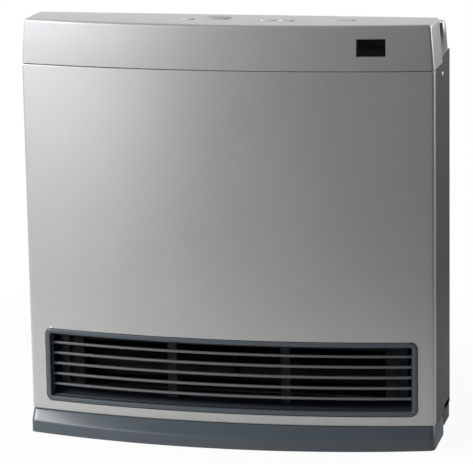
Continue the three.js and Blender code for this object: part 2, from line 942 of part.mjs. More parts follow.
function sidePanelSolid() {
  const bend = 2 * sheetWall;
  const plan = filleted([
    corner(sideOuterX - sideFlange, sideFrontY),
    corner(sideOuterX, sideFrontY, bend),
    corner(sideOuterX, wallY),
    corner(sideInnerX, wallY),
    corner(sideInnerX, sideFrontY + sheetWall, bend - sheetWall),
    corner(sideOuterX - sideFlange, sideFrontY + sheetWall),
  ]);
  const elevation = filleted([
    corner(sideFrontY - beyond, sideBottomHeight),
    corner(sideNotchY, sideBottomHeight),
    corner(sideNotchY, sideNotchHeight, sideNotchRadius),
    corner(wallY + beyond, sideNotchHeight),
    corner(wallY + beyond, seamAt(wallY + beyond)),
    corner(sideFrontY - beyond, seamAt(sideFrontY - beyond)),
  ]);
  const screwHole = across(
    circle(cornerY + sideScrewDepth, sideScrewHeight, screwShankRadius + screwClearance, smallSegments),
    sideInnerX - beyond,
    sideOuterX + beyond,
  );
  // The front flange stands behind the panel's return, above the plinth.
  const flangeFoot = box(
    sideOuterX - sideFlange - beyond,
    sideInnerX - seatGap,
    sideFrontY - beyond,
    sideFrontY + beyond,
    sideBottomHeight - beyond,
    chassisFloorZ + sheetWall + chassisFlange,
  );
  return cut(
    common(raised(plan, sideBottomHeight, seamHeight + seamRise + beyond), across(elevation, 0, cabinetWidth)),
    screwHole,
    flangeFoot,
  );
}

function sideScrewSolid() {
  return turnedAlongX([
    [-screwShankLength, 0],
    [-screwShankLength, screwShankRadius * 0.5],
    [-screwShankLength + 1.5, screwShankRadius],
    [seatGap, screwShankRadius],
    [seatGap, screwHeadRadius],
    [seatGap + screwHeadHeight * 0.5, screwHeadRadius],
    [seatGap + screwHeadHeight, screwHeadRadius * 0.6],
    [seatGap + screwHeadHeight, 0],
  ], smallSegments);
}

// ---------------------------------------------------------------------------------------
// Rear casing and its slide-out filters
// ---------------------------------------------------------------------------------------

const casingHalfWidth = sideInnerX - seatGap;
const casingBottom = sideNotchHeight + seatGap;
const casingTop = seamAt(pocketFloorY) - seatGap;
const pocketNearX = spineWidth / 2;
const pocketFarX = casingHalfWidth - pocketEndDistance;
const gasRecessX = partitionX + (sideInnerX - partitionX) / 2;
const gasRecessFloorY = wallY - inletRecessDepth;
const gasRecessCentreZ = inletRecessBottom + inletRecessHeight / 2;
const cordRecessFloorY = wallY - cordRecessDepth;

// An open tray pressed forward from the casing's rear face: the solid part and its void
function tray(x0, x1, z0, z1, floorY) {
  return {
    body: box(x0 - mouldedWall, x1 + mouldedWall, floorY - mouldedWall, wallY, z0 - mouldedWall, z1 + mouldedWall),
    hollow: box(x0, x1, floorY, wallY + beyond, z0, z1),
  };
}

function keyhole(x) {
  const eye = runBack(circle(x, keyholeHeight, keyholeRadius, mediumSegments), casingInnerY, wallY + beyond);
  const slot = runBack(
    rectangle(
      x - keyholeSlotWidth / 2,
      keyholeHeight,
      x + keyholeSlotWidth / 2,
      keyholeHeight + keyholeSlotRise,
      keyholeSlotWidth / 2.01,
    ),
    casingInnerY,
    wallY + beyond,
  );
  return join(eye, slot);
}

function inletSlots(side) {
  const slots = [];
  const middle = (side * (pocketNearX + pocketFarX)) / 2;
  for (let column = 0; column < inletColumns; column += 1) {
    for (let row = 0; row < inletRows; row += 1) {
      const x = middle + (column - (inletColumns - 1) / 2) * inletPitchX;
      const z = inletFirstHeight + row * inletPitchZ;
      slots.push(runBack(
        rectangle(
          x - inletSlotLength / 2,
          z - inletSlotHeight / 2,
          x + inletSlotLength / 2,
          z + inletSlotHeight / 2,
        ),
        casingInnerY - beyond,
        pocketFloorY + 1,
      ));
    }
  }
  return slots;
}

function rearCasingSolid() {
  const plate = box(-casingHalfWidth, casingHalfWidth, wallY - mouldedWall, wallY, casingBottom, casingTop);
  const rim = cut(
    box(-casingHalfWidth, casingHalfWidth, wallY - casingRim, wallY, casingBottom, casingTop),
    box(
      -casingHalfWidth + mouldedWall,
      casingHalfWidth - mouldedWall,
      wallY - casingRim - beyond,
      wallY + beyond,
      casingBottom + mouldedWall,
      casingTop + beyond,
    ),
  );
  const pockets = [-1, 1].map((side) => tray(
    side > 0 ? pocketNearX : -pocketFarX,
    side > 0 ? pocketFarX : -pocketNearX,
    pocketBottom,
    casingTop + beyond,
    pocketFloorY,
  ));
  const gasTray = tray(
    gasRecessX - inletRecessWidth / 2,
    gasRecessX + inletRecessWidth / 2,
    inletRecessBottom,
    inletRecessBottom + inletRecessHeight,
    gasRecessFloorY,
  );
  const cordTray = tray(
    -gasRecessX - cordRecessWidth / 2,
    -gasRecessX + cordRecessWidth / 2,
    cordRecessHeightAboveFloor - cordRecessHeight / 2,
    cordRecessHeightAboveFloor + cordRecessHeight / 2,
    cordRecessFloorY,
  );
  const lips = [-1, 1].flatMap((side) => [pocketNearX, pocketFarX].map((edge) => {
    const inward = edge === pocketNearX ? pocketLip : -pocketLip;
    const [x0, x1] = [side * edge, side * (edge + inward)].sort((a, b) => a - b);
    return box(x0, x1, pocketFloorY + filterThickness + 2 * seatGap, wallY, pocketBottom, pocketBottom + filterHeight);
  }));
  const trays = [...pockets, gasTray, cordTray];
  const trimTop = box(-cabinetWidth, cabinetWidth, 0, wallY + beyond, casingTop, cabinetHeight);
  const drilled = [
    runBack(circle(gasRecessX, gasRecessCentreZ, gasPipeRadius + 2), gasRecessFloorY - beyond, wallY),
    runBack(
      circle(-gasRecessX, cordRecessHeightAboveFloor, glandNeckRadius + seatGap, mediumSegments),
      cordRecessFloorY - beyond,
      wallY,
    ),
    keyhole(-keyholeSpacing / 2),
    keyhole(keyholeSpacing / 2),
  ];
  const moulded = cut(join(plate, rim, ...trays.map((t) => t.body)), ...trays.map((t) => t.hollow), trimTop);
  return cut(join(moulded, ...lips), ...drilled, ...inletSlots(-1), ...inletSlots(1));
}

function filterSolid() {
  const width = pocketFarX - pocketNearX - 2 * filterClearance;
  const frame = box(-width / 2, width / 2, 0, filterThickness, 0, filterHeight - filterClearance);
  const cellWidth = (width - 2 * filterBorder + filterBar) / filterColumns;
  const cellHeight = (filterHeight - filterClearance - 2 * filterBorder + filterBar) / filterRows;
  const cells = [];
  for (let column = 0; column < filterColumns; column += 1) {
    for (let row = 0; row < filterRows; row += 1) {
      const x = -width / 2 + filterBorder + column * cellWidth;
      const z = filterBorder + row * cellHeight;
      cells.push(box(x, x + cellWidth - filterBar, -beyond, 2 * beyond, z, z + cellHeight - filterBar));
    }
  }
  const tab = runBack(
    filleted([
      corner(-filterTabWidth / 2, filterHeight - filterClearance - 1),
      corner(filterTabWidth / 2, filterHeight - filterClearance - 1),
      corner(filterTabWidth / 2 - 6, filterHeight + filterTabHeight, 4),
      corner(-filterTabWidth / 2 + 6, filterHeight + filterTabHeight, 4),
    ]),
    filterThickness / 2,
    filterThickness,
  );
  return join(cut(frame, ...cells), tab);
}

// ---------------------------------------------------------------------------------------
// Controls
// ---------------------------------------------------------------------------------------

function displayWindowSolid() {
  const face = panelFace.inset(displayRecess);
  const slab = cut(
    raised(
      bowedPlan(face, halfWidth - beyond, cornerY, 0),
      displayCentreZ - displayHeight,
      displayCentreZ + displayHeight,
    ),
    raised(
      bowedPlan(face.inset(displayLensThickness), halfWidth - beyond, cornerY + beyond, 0),
      displayCentreZ - 2 * displayHeight,
      displayCentreZ + 2 * displayHeight,
    ),
  );
  return common(runBack(displayOutline(0), panelFace.apexY, cornerY), slab);
}

function displayBoardSolid() {
  const lensBackY = panelFace.inset(displayRecess + displayLensThickness).yAt(displayCentreX + displayWidth / 2);
  const blockFrontY = lensBackY + seatGap;
  const block = box(
    displayCentreX - displayWidth / 2,
    displayCentreX + displayWidth / 2,
    blockFrontY,
    blockFrontY + displayBlockDepth,
    displayCentreZ - displayHeight / 2,
    displayCentreZ + displayHeight / 2,
  );
  const board = box(
    displayCentreX - displayWidth / 2 - displayBoardMargin,
    displayCentreX + displayWidth / 2 + displayBoardMargin,
    blockFrontY + displayBlockDepth - 0.2,
    blockFrontY + displayBlockDepth + boardThickness,
    displayCentreZ - displayHeight / 2 - displayBoardMargin,
    displayCentreZ + displayHeight / 2 + displayBoardMargin / 2,
  );
  return join(block, board);
}

function switchBoardSolid() {
  const { x0, x1, y0, y1 } = switchBoardEdges();
  const board = raised(rectangle(x0, y0, x1, y1, 2), switchBoardTop - boardThickness, switchBoardTop);
  const switches = Object.values(buttonSizes).map(({ x, setBack }) => {
    const y = cornerY + setBack;
    return join(
      raised(
        rectangle(x - switchSize / 2, y - switchSize / 2, x + switchSize / 2, y + switchSize / 2),
        switchBoardTop - 0.2,
        switchBoardTop + switchHeight - 1,
      ),
      raised(circle(x, y, buttonStemRadius, smallSegments), switchBoardTop, switchBoardTop + switchHeight),
    );
  });
  return join(board, ...switches);
}

function buttonSolid(size) {
  const centred = { ...size, x: 0, setBack: -cornerY };
  const cap = raised(buttonOutline(centred, 0), -mouldedWall - seatGap, buttonProud, buttonEdge, 1);
  const flange = raised(
    buttonOutline(centred, buttonFlange),
    -mouldedWall - seatGap - buttonFlangeThickness,
    -mouldedWall - seatGap,
  );
  const stem = raised(
    circle(0, 0, buttonStemRadius, smallSegments),
    -mouldedWall - seatGap - buttonFlangeThickness - buttonTravel + seatGap,
    -mouldedWall - seatGap - buttonFlangeThickness / 2,
  );
  return join(cap, flange, stem);
}

// ---------------------------------------------------------------------------------------
// Outlet louvre: bezel with its tunnel, blades and upright stays
// ---------------------------------------------------------------------------------------

const tunnelHalfWidth = louvreWidth / 2 - bezelWidth;
const tunnelBottom = louvreBottom + bezelWidth;
const tunnelTop = louvreBottom + louvreHeight - bezelWidth;
const outletBottom = tunnelBottom + scoopRise;
const outletTop = Math.min(outletBottom + outletHeight, tunnelTop);
const outletHalfWidth = partitionX - 2 * sheetWall;

function tunnelOutline(grow) {
  return rectangle(
    -tunnelHalfWidth - grow,
    tunnelBottom - grow,
    tunnelHalfWidth + grow,
    tunnelTop + grow,
    tunnelCornerRadius + grow,
  );
}

function louvreFrameSolid() {
  const front = panelFace.inset(-bezelProud);
  const behindFace = (set, z0, z1) => raised(
    bowedPlan(front.inset(set), halfWidth - beyond, tunnelBackY, 0),
    z0,
    z1,
  );
  const low = louvreBottom - beyond;
  const high = louvreBottom + louvreHeight + beyond;
  const bezel = cut(
    common(runBack(louvreOutline(0, louvreCornerRadius), front.apexY - beyond, tunnelBackY), behindFace(0, low, high)),
    behindFace(bezelDepth, low - beyond, high + beyond),
  );
  const tunnel = common(
    runBack(tunnelOutline(tunnelWall), front.apexY - beyond, tunnelBackY),
    behindFace(bezelDepth / 2, low, high),
  );
  const passage = runBack(tunnelOutline(0), front.apexY - 2 * beyond, tunnelBackY - tunnelWall);
  const outlet = runBack(
    rectangle(-outletHalfWidth, outletBottom, outletHalfWidth, outletTop, 1),
    front.apexY - beyond,
    tunnelBackY + beyond,
  );
  // The floor of the tunnel slopes up to the outlet behind the lowest blade.
  const scoop = across(
    [
      new THREE.Vector2(panelFace.apexY + scoopLip, tunnelBottom - tunnelWall / 2),
      new THREE.Vector2(tunnelBackY - tunnelWall / 2, tunnelBottom - tunnelWall / 2),
      new THREE.Vector2(tunnelBackY - tunnelWall / 2, outletBottom),
    ],
    -tunnelHalfWidth - tunnelWall / 2,
    tunnelHalfWidth + tunnelWall / 2,
  );
  const scoopInFrame = common(scoop, behindFace(scoopLip, low, high));
  return join(cut(join(bezel, tunnel), passage, outlet), scoopInFrame);
}

const bladeFront = panelFace.inset(bladeSetBack);
const bladeBack = panelFace.inset(bladeSetBack + bladeDepth);

// One blade about its own mid height: a bowed strip with rounded long edges
function bladeSolid() {
  const half = tunnelHalfWidth - bladeEndClearance;
  const line = (bow, from, to) => Array.from({ length: bowSegments + 1 }, (_, step) => {
    const x = from + ((to - from) * step) / bowSegments;
    return new THREE.Vector2(x, bow.yAt(x));
  });
  const plan = [...line(bladeFront, -half, half), ...line(bladeBack, half, -half)];
  return raised(plan, -bladeThickness / 2, bladeThickness / 2, bladeEdge, 1);
}

// One stay about its own middle: an upright strip with a finger above and under each blade
function staySolid(x) {
  const backY = bladeBack.yAt(Math.abs(x) + stayWidth / 2);
  const body = box(
    -stayWidth / 2,
    stayWidth / 2,
    backY + seatGap,
    backY + seatGap + stayThickness,
    scoopHeightAt(backY + seatGap) + seatGap,
    tunnelTop - seatGap,
  );
  const fingers = Array.from({ length: bladeCount }, (_, index) => {
    const z = lowestBladeHeight + index * bladePitch;
    return box(
      -stayWidth / 2,
      stayWidth / 2,
      backY + seatGap - stayFingerReach,
      backY + seatGap + stayThickness / 2,
      z - bladeThickness / 2 - seatGap - 1,
      z - bladeThickness / 2 - seatGap,
    );
  });
  return join(body, ...fingers);
}

// Height of the sloping tunnel floor at a distance back
function scoopHeightAt(y) {
  const along = (y - (panelFace.apexY + scoopLip)) / (tunnelBackY - tunnelWall / 2 - (panelFace.apexY + scoopLip));
  const start = tunnelBottom - tunnelWall / 2;
  return Math.max(start + along * (outletBottom - start), tunnelBottom) + 1;
}

const stayPlaces = Array.from({ length: stayCount }, (_, index) => {
  const outer = tunnelHalfWidth - stayEndGap;
  return -outer + (2 * outer * index) / (stayCount - 1);
});

// ---------------------------------------------------------------------------------------
// Cross-flow fan
// ---------------------------------------------------------------------------------------

const fanHalfLength = partitionX - fanEndGap;

// Section of one curved blade, in the (y, z) plane about the fan's axis
function fanBladeOutline(angle) {
  const steps = 2;
  const line = Array.from({ length: steps + 1 }, (_, step) => {
    const along = step / steps;
    const radius = fanRadius - 0.4 - fanBladeChord * (1 - along);
    const turn = angle + fanBladeSweep * along ** 2;
    return new THREE.Vector2(radius * Math.cos(turn), radius * Math.sin(turn));
  });
  return ribbon(line, fanBladeThickness);
}

function impellerSolid() {
  const blades = Array.from({ length: fanBladeCount }, (_, index) => across(
    fanBladeOutline((2 * Math.PI * index) / fanBladeCount),
    -fanHalfLength + fanDiscThickness / 2,
    fanHalfLength - fanDiscThickness / 2,
  ));
  const discs = Array.from({ length: fanDiscCount }, (_, index) => {
    const span = 2 * fanHalfLength - fanDiscThickness;
    const x = -fanHalfLength + (span * index) / (fanDiscCount - 1);
    const disc = across(circle(0, 0, fanRadius, fanBladeCount), x, x + fanDiscThickness);
    const atEnd = index === 0 || index === fanDiscCount - 1;
    const eye = across(circle(0, 0, fanRadius - fanBladeChord, roundSegments), x - 1, x + fanDiscThickness + 1);
    return atEnd ? disc : cut(disc, eye);
  });
  const bore = across(
    circle(0, 0, stubShaftRadius + stubShaftClearance, mediumSegments),
    -fanHalfLength - 1,
    fanHalfLength + 1,
  );
  const hubs = [-1, 1].map((side) => across(
    circle(0, 0, fanHubRadius, mediumSegments),
    side > 0 ? fanHalfLength - fanHubLength : -fanHalfLength,
    side > 0 ? fanHalfLength : -fanHalfLength + fanHubLength,
  ));
  return cut(join(join(...blades), ...discs, ...hubs), bore);
}

const motorFaceX = -partitionX - sheetWall - seatGap;

function stubShaftSolid(length) {
  return turnedAlongX([
    [0, 0],
    [0, stubShaftRadius - shaftChamfer],
    [shaftChamfer, stubShaftRadius],
    [length - shaftChamfer, stubShaftRadius],
    [length, stubShaftRadius - shaftChamfer],
    [length, 0],
  ], mediumSegments);
}

const innerStubEnd = fanHalfLength - fanHubLength;
const leftStubLength = -innerStubEnd - (motorFaceX - motorLength * motorShaftShare);
const rightStubLength = partitionX + sheetWall + seatGap + bearingLength - shaftEndInset - innerStubEnd;

// Motor can with its two mounting ears, drawn from its face toward -X
function motorSolid() {
  const can = turnedAlongX([
    [-motorLength, 0],
    [-motorLength, motorRadius * motorNoseShare],
    [-motorLength + motorDishDepth, motorRadius * motorDishShare],
    [-motorLength + motorDishDepth, motorRadius * motorRimShare],
    [-motorLength + 2 * motorDishDepth, motorRadius],
    [0, motorRadius],
    [0, 0],
  ]);
  const ears = across(
    filleted([
      corner(-motorEar, -motorBoltCircle - motorEar / 2, motorEarCorner),
      corner(motorEar, -motorBoltCircle - motorEar / 2, motorEarCorner),
      corner(motorEar, motorBoltCircle + motorEar / 2, motorEarCorner),
      corner(-motorEar, motorBoltCircle + motorEar / 2, motorEarCorner),
    ]),
    -motorEarThickness,
    0,
  );
  const bore = across(
    circle(0, 0, stubShaftRadius + stubShaftClearance, mediumSegments),
    -motorLength * motorBoreShare,
    1,
  );
  return cut(join(can, ears), bore);
}

function bearingSolid() {
  return turnedAlongX([
    [0, stubShaftRadius + stubShaftClearance],
    [0, bearingRadius + bearingFlangeReach],
    [bearingFlangeThickness, bearingRadius + bearingFlangeReach],
    [bearingFlangeThickness, bearingRadius],
    [bearingLength, bearingRadius - bearingTaper],
    [bearingLength, stubShaftRadius + stubShaftClearance],
    [0, stubShaftRadius + stubShaftClearance],
  ], mediumSegments);
}

// Sheet scroll: from the air intake behind the fan, round its rear and out to the tunnel
function scrollSolid() {
  const line = [];
  for (let step = 0; step <= scrollTurns; step += 1) {
    const along = step / scrollTurns;
    const angle = scrollStartAngle + (scrollEndAngle - scrollStartAngle) * along;
    const radius = fanRadius + scrollGapTop + (scrollGapBottom - scrollGapTop) * along;
    line.push(new THREE.Vector2(fanAxisY + radius * Math.cos(angle), fanAxisHeight + radius * Math.sin(angle)));
  }
  const top = line[0];
  const intake = new THREE.Vector2(top.x + scrollIntakeLean, fanAxisHeight + fanRadius + scrollIntakeRise);
  const mouth = new THREE.Vector2(tunnelBackY + seatGap, outletBottom - sheetWall);
  const path = [intake, ...line, mouth];
  return across(ribbon(path.reverse(), sheetWall), -partitionX + seatGap, partitionX - seatGap);
}

// Folded sheet tongue between the fan's front and the roof of the tunnel
function tongueSolid() {
  const tip = fanAxisY - (fanRadius + tongueGap) * Math.cos(tongueAngle);
  const tipZ = fanAxisHeight + (fanRadius + tongueGap) * Math.sin(tongueAngle);
  const path = [
    new THREE.Vector2(tunnelBackY + seatGap, outletTop + sheetWall),
    new THREE.Vector2(tip - tongueRadius, tipZ + tongueRadius * 0.4),
    new THREE.Vector2(tip - 0.5, tipZ + tongueRadius),
    new THREE.Vector2(tip - 1, tipZ + 3 * tongueRadius),
    new THREE.Vector2(tip - tongueTopLean, fanAxisHeight + fanRadius + tongueTopRise),
  ];
  return across(ribbon(path, sheetWall), -partitionX + seatGap, partitionX - seatGap);
}

// ---------------------------------------------------------------------------------------
// Chassis
// ---------------------------------------------------------------------------------------

const chassisHalfWidth = sideInnerX - chassisSideInset;
const chassisFrontY = panelBackY + sideGroove + sheetWall + seatGap;
const chassisBackY = wallY - casingRim - 2 * seatGap;
const partitionBottom = chassisFloorZ + sheetWall + seatGap;
const partitionTop = seamHeight - partitionHeadroom;

function chassisFloorSolid() {
  const outer = box(
    -chassisHalfWidth,
    chassisHalfWidth,
    chassisFrontY,
    chassisBackY,
    chassisFloorZ,
    chassisFloorZ + sheetWall + chassisFlange,
  );
  const inner = box(
    -chassisHalfWidth + sheetWall,
    chassisHalfWidth - sheetWall,
    chassisFrontY + sheetWall,
    chassisBackY - sheetWall,
    chassisFloorZ + sheetWall,
    chassisFloorZ + sheetWall + chassisFlange + beyond,
  );
  return cut(outer, inner);
}

const partitionFrontY = tunnelBackY + seatGap;
const partitionBackY = casingInnerY - seatGap;

// Right-hand partition: an upright sheet with its foot and head turned outward
function partitionSolid(shaftHoleRadius, burnerSide) {
  const sheetSection = (z0, z1) => box(partitionX, partitionX + sheetWall, partitionFrontY, partitionBackY, z0, z1);
  const foot = box(
    partitionX,
    partitionX + partitionFlange,
    Math.max(partitionFrontY, chassisFrontY + sheetWall + seatGap),
    Math.min(partitionBackY, chassisBackY - sheetWall - seatGap),
    partitionBottom,
    partitionBottom + sheetWall,
  );
  const head = box(
    partitionX,
    partitionX + partitionFlange,
    partitionFrontY + beyond,
    partitionBackY - beyond,
    partitionTop - sheetWall,
    partitionTop,
  );
  const floorNotch = box(
    partitionX - 1,
    partitionX + sheetWall + 1,
    Math.min(partitionBackY, chassisBackY - sheetWall - seatGap),
    partitionBackY + beyond,
    partitionBottom - 1,
    chassisFloorZ + sheetWall + chassisFlange + seatGap,
  );
  const shaftHole = across(circle(fanAxisY, fanAxisHeight, shaftHoleRadius), partitionX - 1, partitionX + sheetWall + 1);
  const burnerHole = across(
    circle(burnerCentreY, burnerNeckZ, burnerNeckRadius, mediumSegments),
    partitionX - 1,
    partitionX + sheetWall + 1,
  );
  const sheet = cut(join(sheetSection(partitionBottom, partitionTop), foot, head), shaftHole, floorNotch);
  return burnerSide ? cut(sheet, burnerHole) : sheet;
}

const railBottom = partitionTop + seatGap;

// Top rail: a channel that ties the two partitions together
function topRailSolid() {
  const section = filleted([
    corner(0, 0),
    corner(railDepth, 0),
    corner(railDepth, railHeight),
    corner(railDepth - sheetWall, railHeight),
    corner(railDepth - sheetWall, sheetWall),
    corner(sheetWall, sheetWall),
    corner(sheetWall, railHeight),
    corner(0, railHeight),
  ]).map((p) => new THREE.Vector2(p.x + (partitionFrontY + partitionBackY - railDepth) / 2, p.y + railBottom));
  return across(section, -sideInnerX + seatGap, sideInnerX - seatGap);
}

// ---------------------------------------------------------------------------------------
// Combustion chamber, burner and gas train
// ---------------------------------------------------------------------------------------

const chamberFrontY = cornerY + chamberSetBack;
const chamberBackY = chamberFrontY + chamberDepth;
const chamberTop = chamberBottom + chamberHeight;
const burnerCentreY = (chamberFrontY + chamberBackY) / 2;
const burnerBottom = chamberBottom + burnerLift;
const chamberHalfWidth = partitionX - chamberEndGap;
const burnerNeckZ = burnerBottom + burnerNeckRadius + 1;

function chamberSolid() {
  const shell = cut(
    box(-chamberHalfWidth, chamberHalfWidth, chamberFrontY, chamberBackY, chamberBottom, chamberTop),
    box(
      -chamberHalfWidth + sheetWall,
      chamberHalfWidth - sheetWall,
      chamberFrontY + sheetWall,
      chamberBackY - sheetWall,
      chamberBottom - beyond,
      chamberTop - sheetWall,
    ),
  );
  // The back sheet reaches both partitions and carries the chamber.
  const backSheet = box(
    -partitionX + seatGap,
    partitionX - seatGap,
    chamberBackY - sheetWall,
    chamberBackY,
    chamberBottom,
    chamberTop,
  );
  const slots = Array.from({ length: chamberSlotCount }, (_, index) => {
    const pitch = (2 * chamberHalfWidth) / chamberSlotCount;
    const x = -chamberHalfWidth + pitch * (index + 0.5);
    return raised(
      rectangle(
        x - chamberSlotWidth / 2,
        burnerCentreY - chamberSlotDepth / 2,
        x + chamberSlotWidth / 2,
        burnerCentreY + chamberSlotDepth / 2,
      ),
      chamberTop - beyond,
      chamberTop + beyond,
    );
  });
  const rods = [-1, 1].map((side) => runBack(
    circle(side * electrodeX, electrodeZ, ceramicRadius + seatGap, smallSegments),
    chamberFrontY - beyond,
    chamberFrontY + beyond,
  ));
  const neck = across(
    circle(burnerCentreY, burnerNeckZ, burnerNeckRadius + seatGap, mediumSegments),
    chamberHalfWidth - beyond,
    chamberHalfWidth + beyond,
  );
  return cut(join(shell, backSheet), ...slots, ...rods, neck);
}

const electrodeX = chamberHalfWidth * electrodeShare;
const electrodeZ = burnerBottom + burnerHeight + electrodeLift;

// Ribbon burner: a long trough with a slotted crown and a round neck through the right wall
function burnerSolid() {
  const half = chamberHalfWidth - burnerEndGap;
  const section = filleted([
    corner(burnerCentreY - burnerWidth / 2, burnerBottom, burnerRootRadius),
    corner(burnerCentreY + burnerWidth / 2, burnerBottom, burnerRootRadius),
    corner(burnerCentreY + burnerWidth / 2 - burnerTaper, burnerBottom + burnerHeight, burnerCrownRadius),
    corner(burnerCentreY - burnerWidth / 2 + burnerTaper, burnerBottom + burnerHeight, burnerCrownRadius),
  ]);
  const body = across(section, -half, half);
  const neck = across(
    circle(burnerCentreY, burnerNeckZ, burnerNeckRadius, mediumSegments),
    half - 1,
    partitionX - seatGap,
  );
  const mouth = across(
    circle(burnerCentreY, burnerNeckZ, burnerNeckRadius - burnerNeckWall, mediumSegments),
    half + burnerMouthInset,
    partitionX + beyond,
  );
  const slots = Array.from({ length: burnerSlotCount }, (_, index) => {
    const x = -half + (2 * half * (index + 0.5)) / burnerSlotCount;
    return box(
      x - burnerSlotWidth / 2,
      x + burnerSlotWidth / 2,
      burnerCentreY - burnerSlotDepth / 2,
      burnerCentreY + burnerSlotDepth / 2,
      burnerBottom + burnerHeight - burnerSlotSink,
      burnerBottom + burnerHeight + beyond,
    );
  });
  return cut(join(body, neck), mouth, ...slots);
}

const valveX = partitionX + sheetWall + seatGap + valveStandOff;
const valveY = burnerCentreY;
const valveBottom = burnerNeckZ + burnerNeckRadius + valveLift;

function gasValveSolid() {
  const body = raised(
    rectangle(valveX, valveY - valveDepth / 2, valveX + valveWidth, valveY + valveDepth / 2, valveCorner),
    valveBottom,
    valveBottom + valveHeight,
  );
  const feet = valveFootShares.map((share) => box(
    partitionX + sheetWall + seatGap,
    valveX + 1,
    valveY - valveFootHalfDepth,
    valveY + valveFootHalfDepth,
    valveBottom + share * valveHeight - valveFootHalfHeight,
    valveBottom + share * valveHeight + valveFootHalfHeight,
  ));
  const solenoids = [-1, 1].map((side) => raised(
    circle(valveX + valveWidth / 2, valveY + side * (solenoidRadius + solenoidGap), solenoidRadius, mediumSegments),
    valveBottom + valveHeight - 1,
    valveBottom + valveHeight + solenoidLength,
  ));
  return join(body, ...feet, ...solenoids);
}

// Injector elbow: leaves the underside of the valve and points into the burner's neck
function injectorSolid() {
  const x = valveX + valveWidth / 2;
  return tubeAlong([
    [x, valveY, valveBottom - seatGap],
    [x, valveY, valveBottom - 4],
    [x - 3, valveY, burnerNeckZ + 2],
    [x - 9, valveY, burnerNeckZ],
    [partitionX - 6, valveY, burnerNeckZ],
  ], injectorRadius, 10);
}

function gasPipeSolid() {
  const pipeX = gasRecessX;
  const startY = gasRecessFloorY - mouldedWall - seatGap;
  const endY = valveY - valveDepth / 3;
  return tubeAlong([
    [pipeX, startY, gasRecessCentreZ],
    [pipeX, startY - 8, gasRecessCentreZ],
    [pipeX, startY - 15, gasRecessCentreZ + 6],
    [pipeX, startY - 17, gasRecessCentreZ + 18],
    [pipeX, endY + 3, valveBottom - pipeLowerDrop],
    [pipeX, endY, valveBottom - pipeUpperDrop],
    [pipeX, endY, valveBottom - seatGap],
  ], gasPipeRadius, 20);
}

// Hose nipple: a hexagon on the recess floor and a bored spigot that points at the wall
function gasInletSolid() {
  const hex = runBack(circle(0, 0, inletHexRadius, 6), seatGap, inletHexLength);
  const spigot = turnedAlongY([
    [0, inletNippleBore],
    [0, inletNippleRadius],
    [inletNippleLength - nippleBarbLength, inletNippleRadius],
    [inletNippleLength - nippleBarbLength, inletNippleRadius + nippleBarbHeight],
    [inletNippleLength - 1, inletNippleRadius + nippleBarbHeight],
    [inletNippleLength, inletNippleRadius - nippleChamfer],
    [inletNippleLength, inletNippleBore],
    [0, inletNippleBore],
  ].map(([along, radius]) => [inletHexLength - 1 + along, radius]));
  return join(hex, spigot);
}

// Round bush for the mains lead: a flange on the recess floor and a neck through the casing
function cordGlandSolid() {
  return turnedAlongY([
    [-mouldedWall - glandNeckReach, glandBoreRadius],
    [-mouldedWall - glandNeckReach, glandNeckRadius],
    [seatGap, glandNeckRadius],
    [seatGap, glandRadius],
    [glandFlangeThickness, glandRadius],
    [glandFlangeThickness + glandCrownHeight, glandRadius - glandCrownInset],
    [glandFlangeThickness + glandCrownHeight, glandBoreRadius],
    [-mouldedWall - glandNeckReach, glandBoreRadius],
  ], mediumSegments);
}

// Ceramic rod with its wire, drawn along +Y from the chamber's front sheet
function electrodeSolid(reach) {
  return turnedAlongY([
    [-electrodeTail, 0],
    [-electrodeTail, electrodeRadius],
    [-ceramicTail, electrodeRadius],
    [-ceramicTail, ceramicRadius],
    [-seatGap - ceramicCollarThickness, ceramicRadius],
    [-seatGap - ceramicCollarThickness, ceramicRadius + ceramicCollarReach],
    [-seatGap, ceramicRadius + ceramicCollarReach],
    [-seatGap, ceramicRadius],
    [ceramicNose, ceramicRadius * ceramicTaper],
    [ceramicNose, electrodeRadius],
    [reach, electrodeRadius],
    [reach, 0],
  ], wireSegments);
}

// ---------------------------------------------------------------------------------------
// Electrics on the left-hand partition
// ---------------------------------------------------------------------------------------

const leftFaceX = -partitionX - sheetWall - seatGap;
const controlBoardHeight = partitionTop - controlBoardHeadroom - controlBoardBottom;

function controlBoardSolid() {
  const boardX = leftFaceX - controlBoardStandOff;
  const y0 = (partitionFrontY + partitionBackY - controlBoardDepth) / 2;
  const z0 = controlBoardBottom;
  const board = box(boardX - boardThickness, boardX, y0, y0 + controlBoardDepth, z0, z0 + controlBoardHeight);
  const partFace = boardX - boardThickness;
  const postRows = [boardPostInset, controlBoardHeight - boardPostInset];
  const posts = [boardPostInset, controlBoardDepth - boardPostInset].flatMap((dy) => postRows.map((dz) => across(
    circle(y0 + dy, z0 + dz, boardPostRadius, boardPostSides),
    boardX - boardSink,
    leftFaceX,
  )));
  const blocks = controlBoardBlocks.map(({ along, up, depth, height, thickness }) => box(
    partFace - thickness,
    partFace + boardSink,
    y0 + along,
    y0 + along + depth,
    z0 + up * controlBoardHeight,
    z0 + (up + height) * controlBoardHeight,
  ));
  const cans = controlBoardCans.map(({ along, up, radius, length }) => across(
    circle(y0 + along, z0 + up * controlBoardHeight, radius, boardCanSides),
    partFace - length,
    partFace + boardSink,
  ));
  return join(board, ...posts, ...blocks, ...cans);
}

function transformerSolid() {
  const y0 = fanAxisY - transformerSize / 2;
  const core = box(
    leftFaceX - transformerSize,
    leftFaceX,
    y0,
    y0 + transformerSize,
    transformerBottom,
    transformerBottom + transformerSize * transformerCoreShare,
  );
  const coil = raised(
    rectangle(
      leftFaceX - transformerSize + coilInset,
      y0 - coilOverhang,
      leftFaceX - coilInset,
      y0 + transformerSize + coilOverhang,
      coilCorner,
    ),
    transformerBottom + coilHeadroom,
    transformerBottom + transformerSize * transformerCoreShare - coilHeadroom,
  );
  return join(core, coil);
}

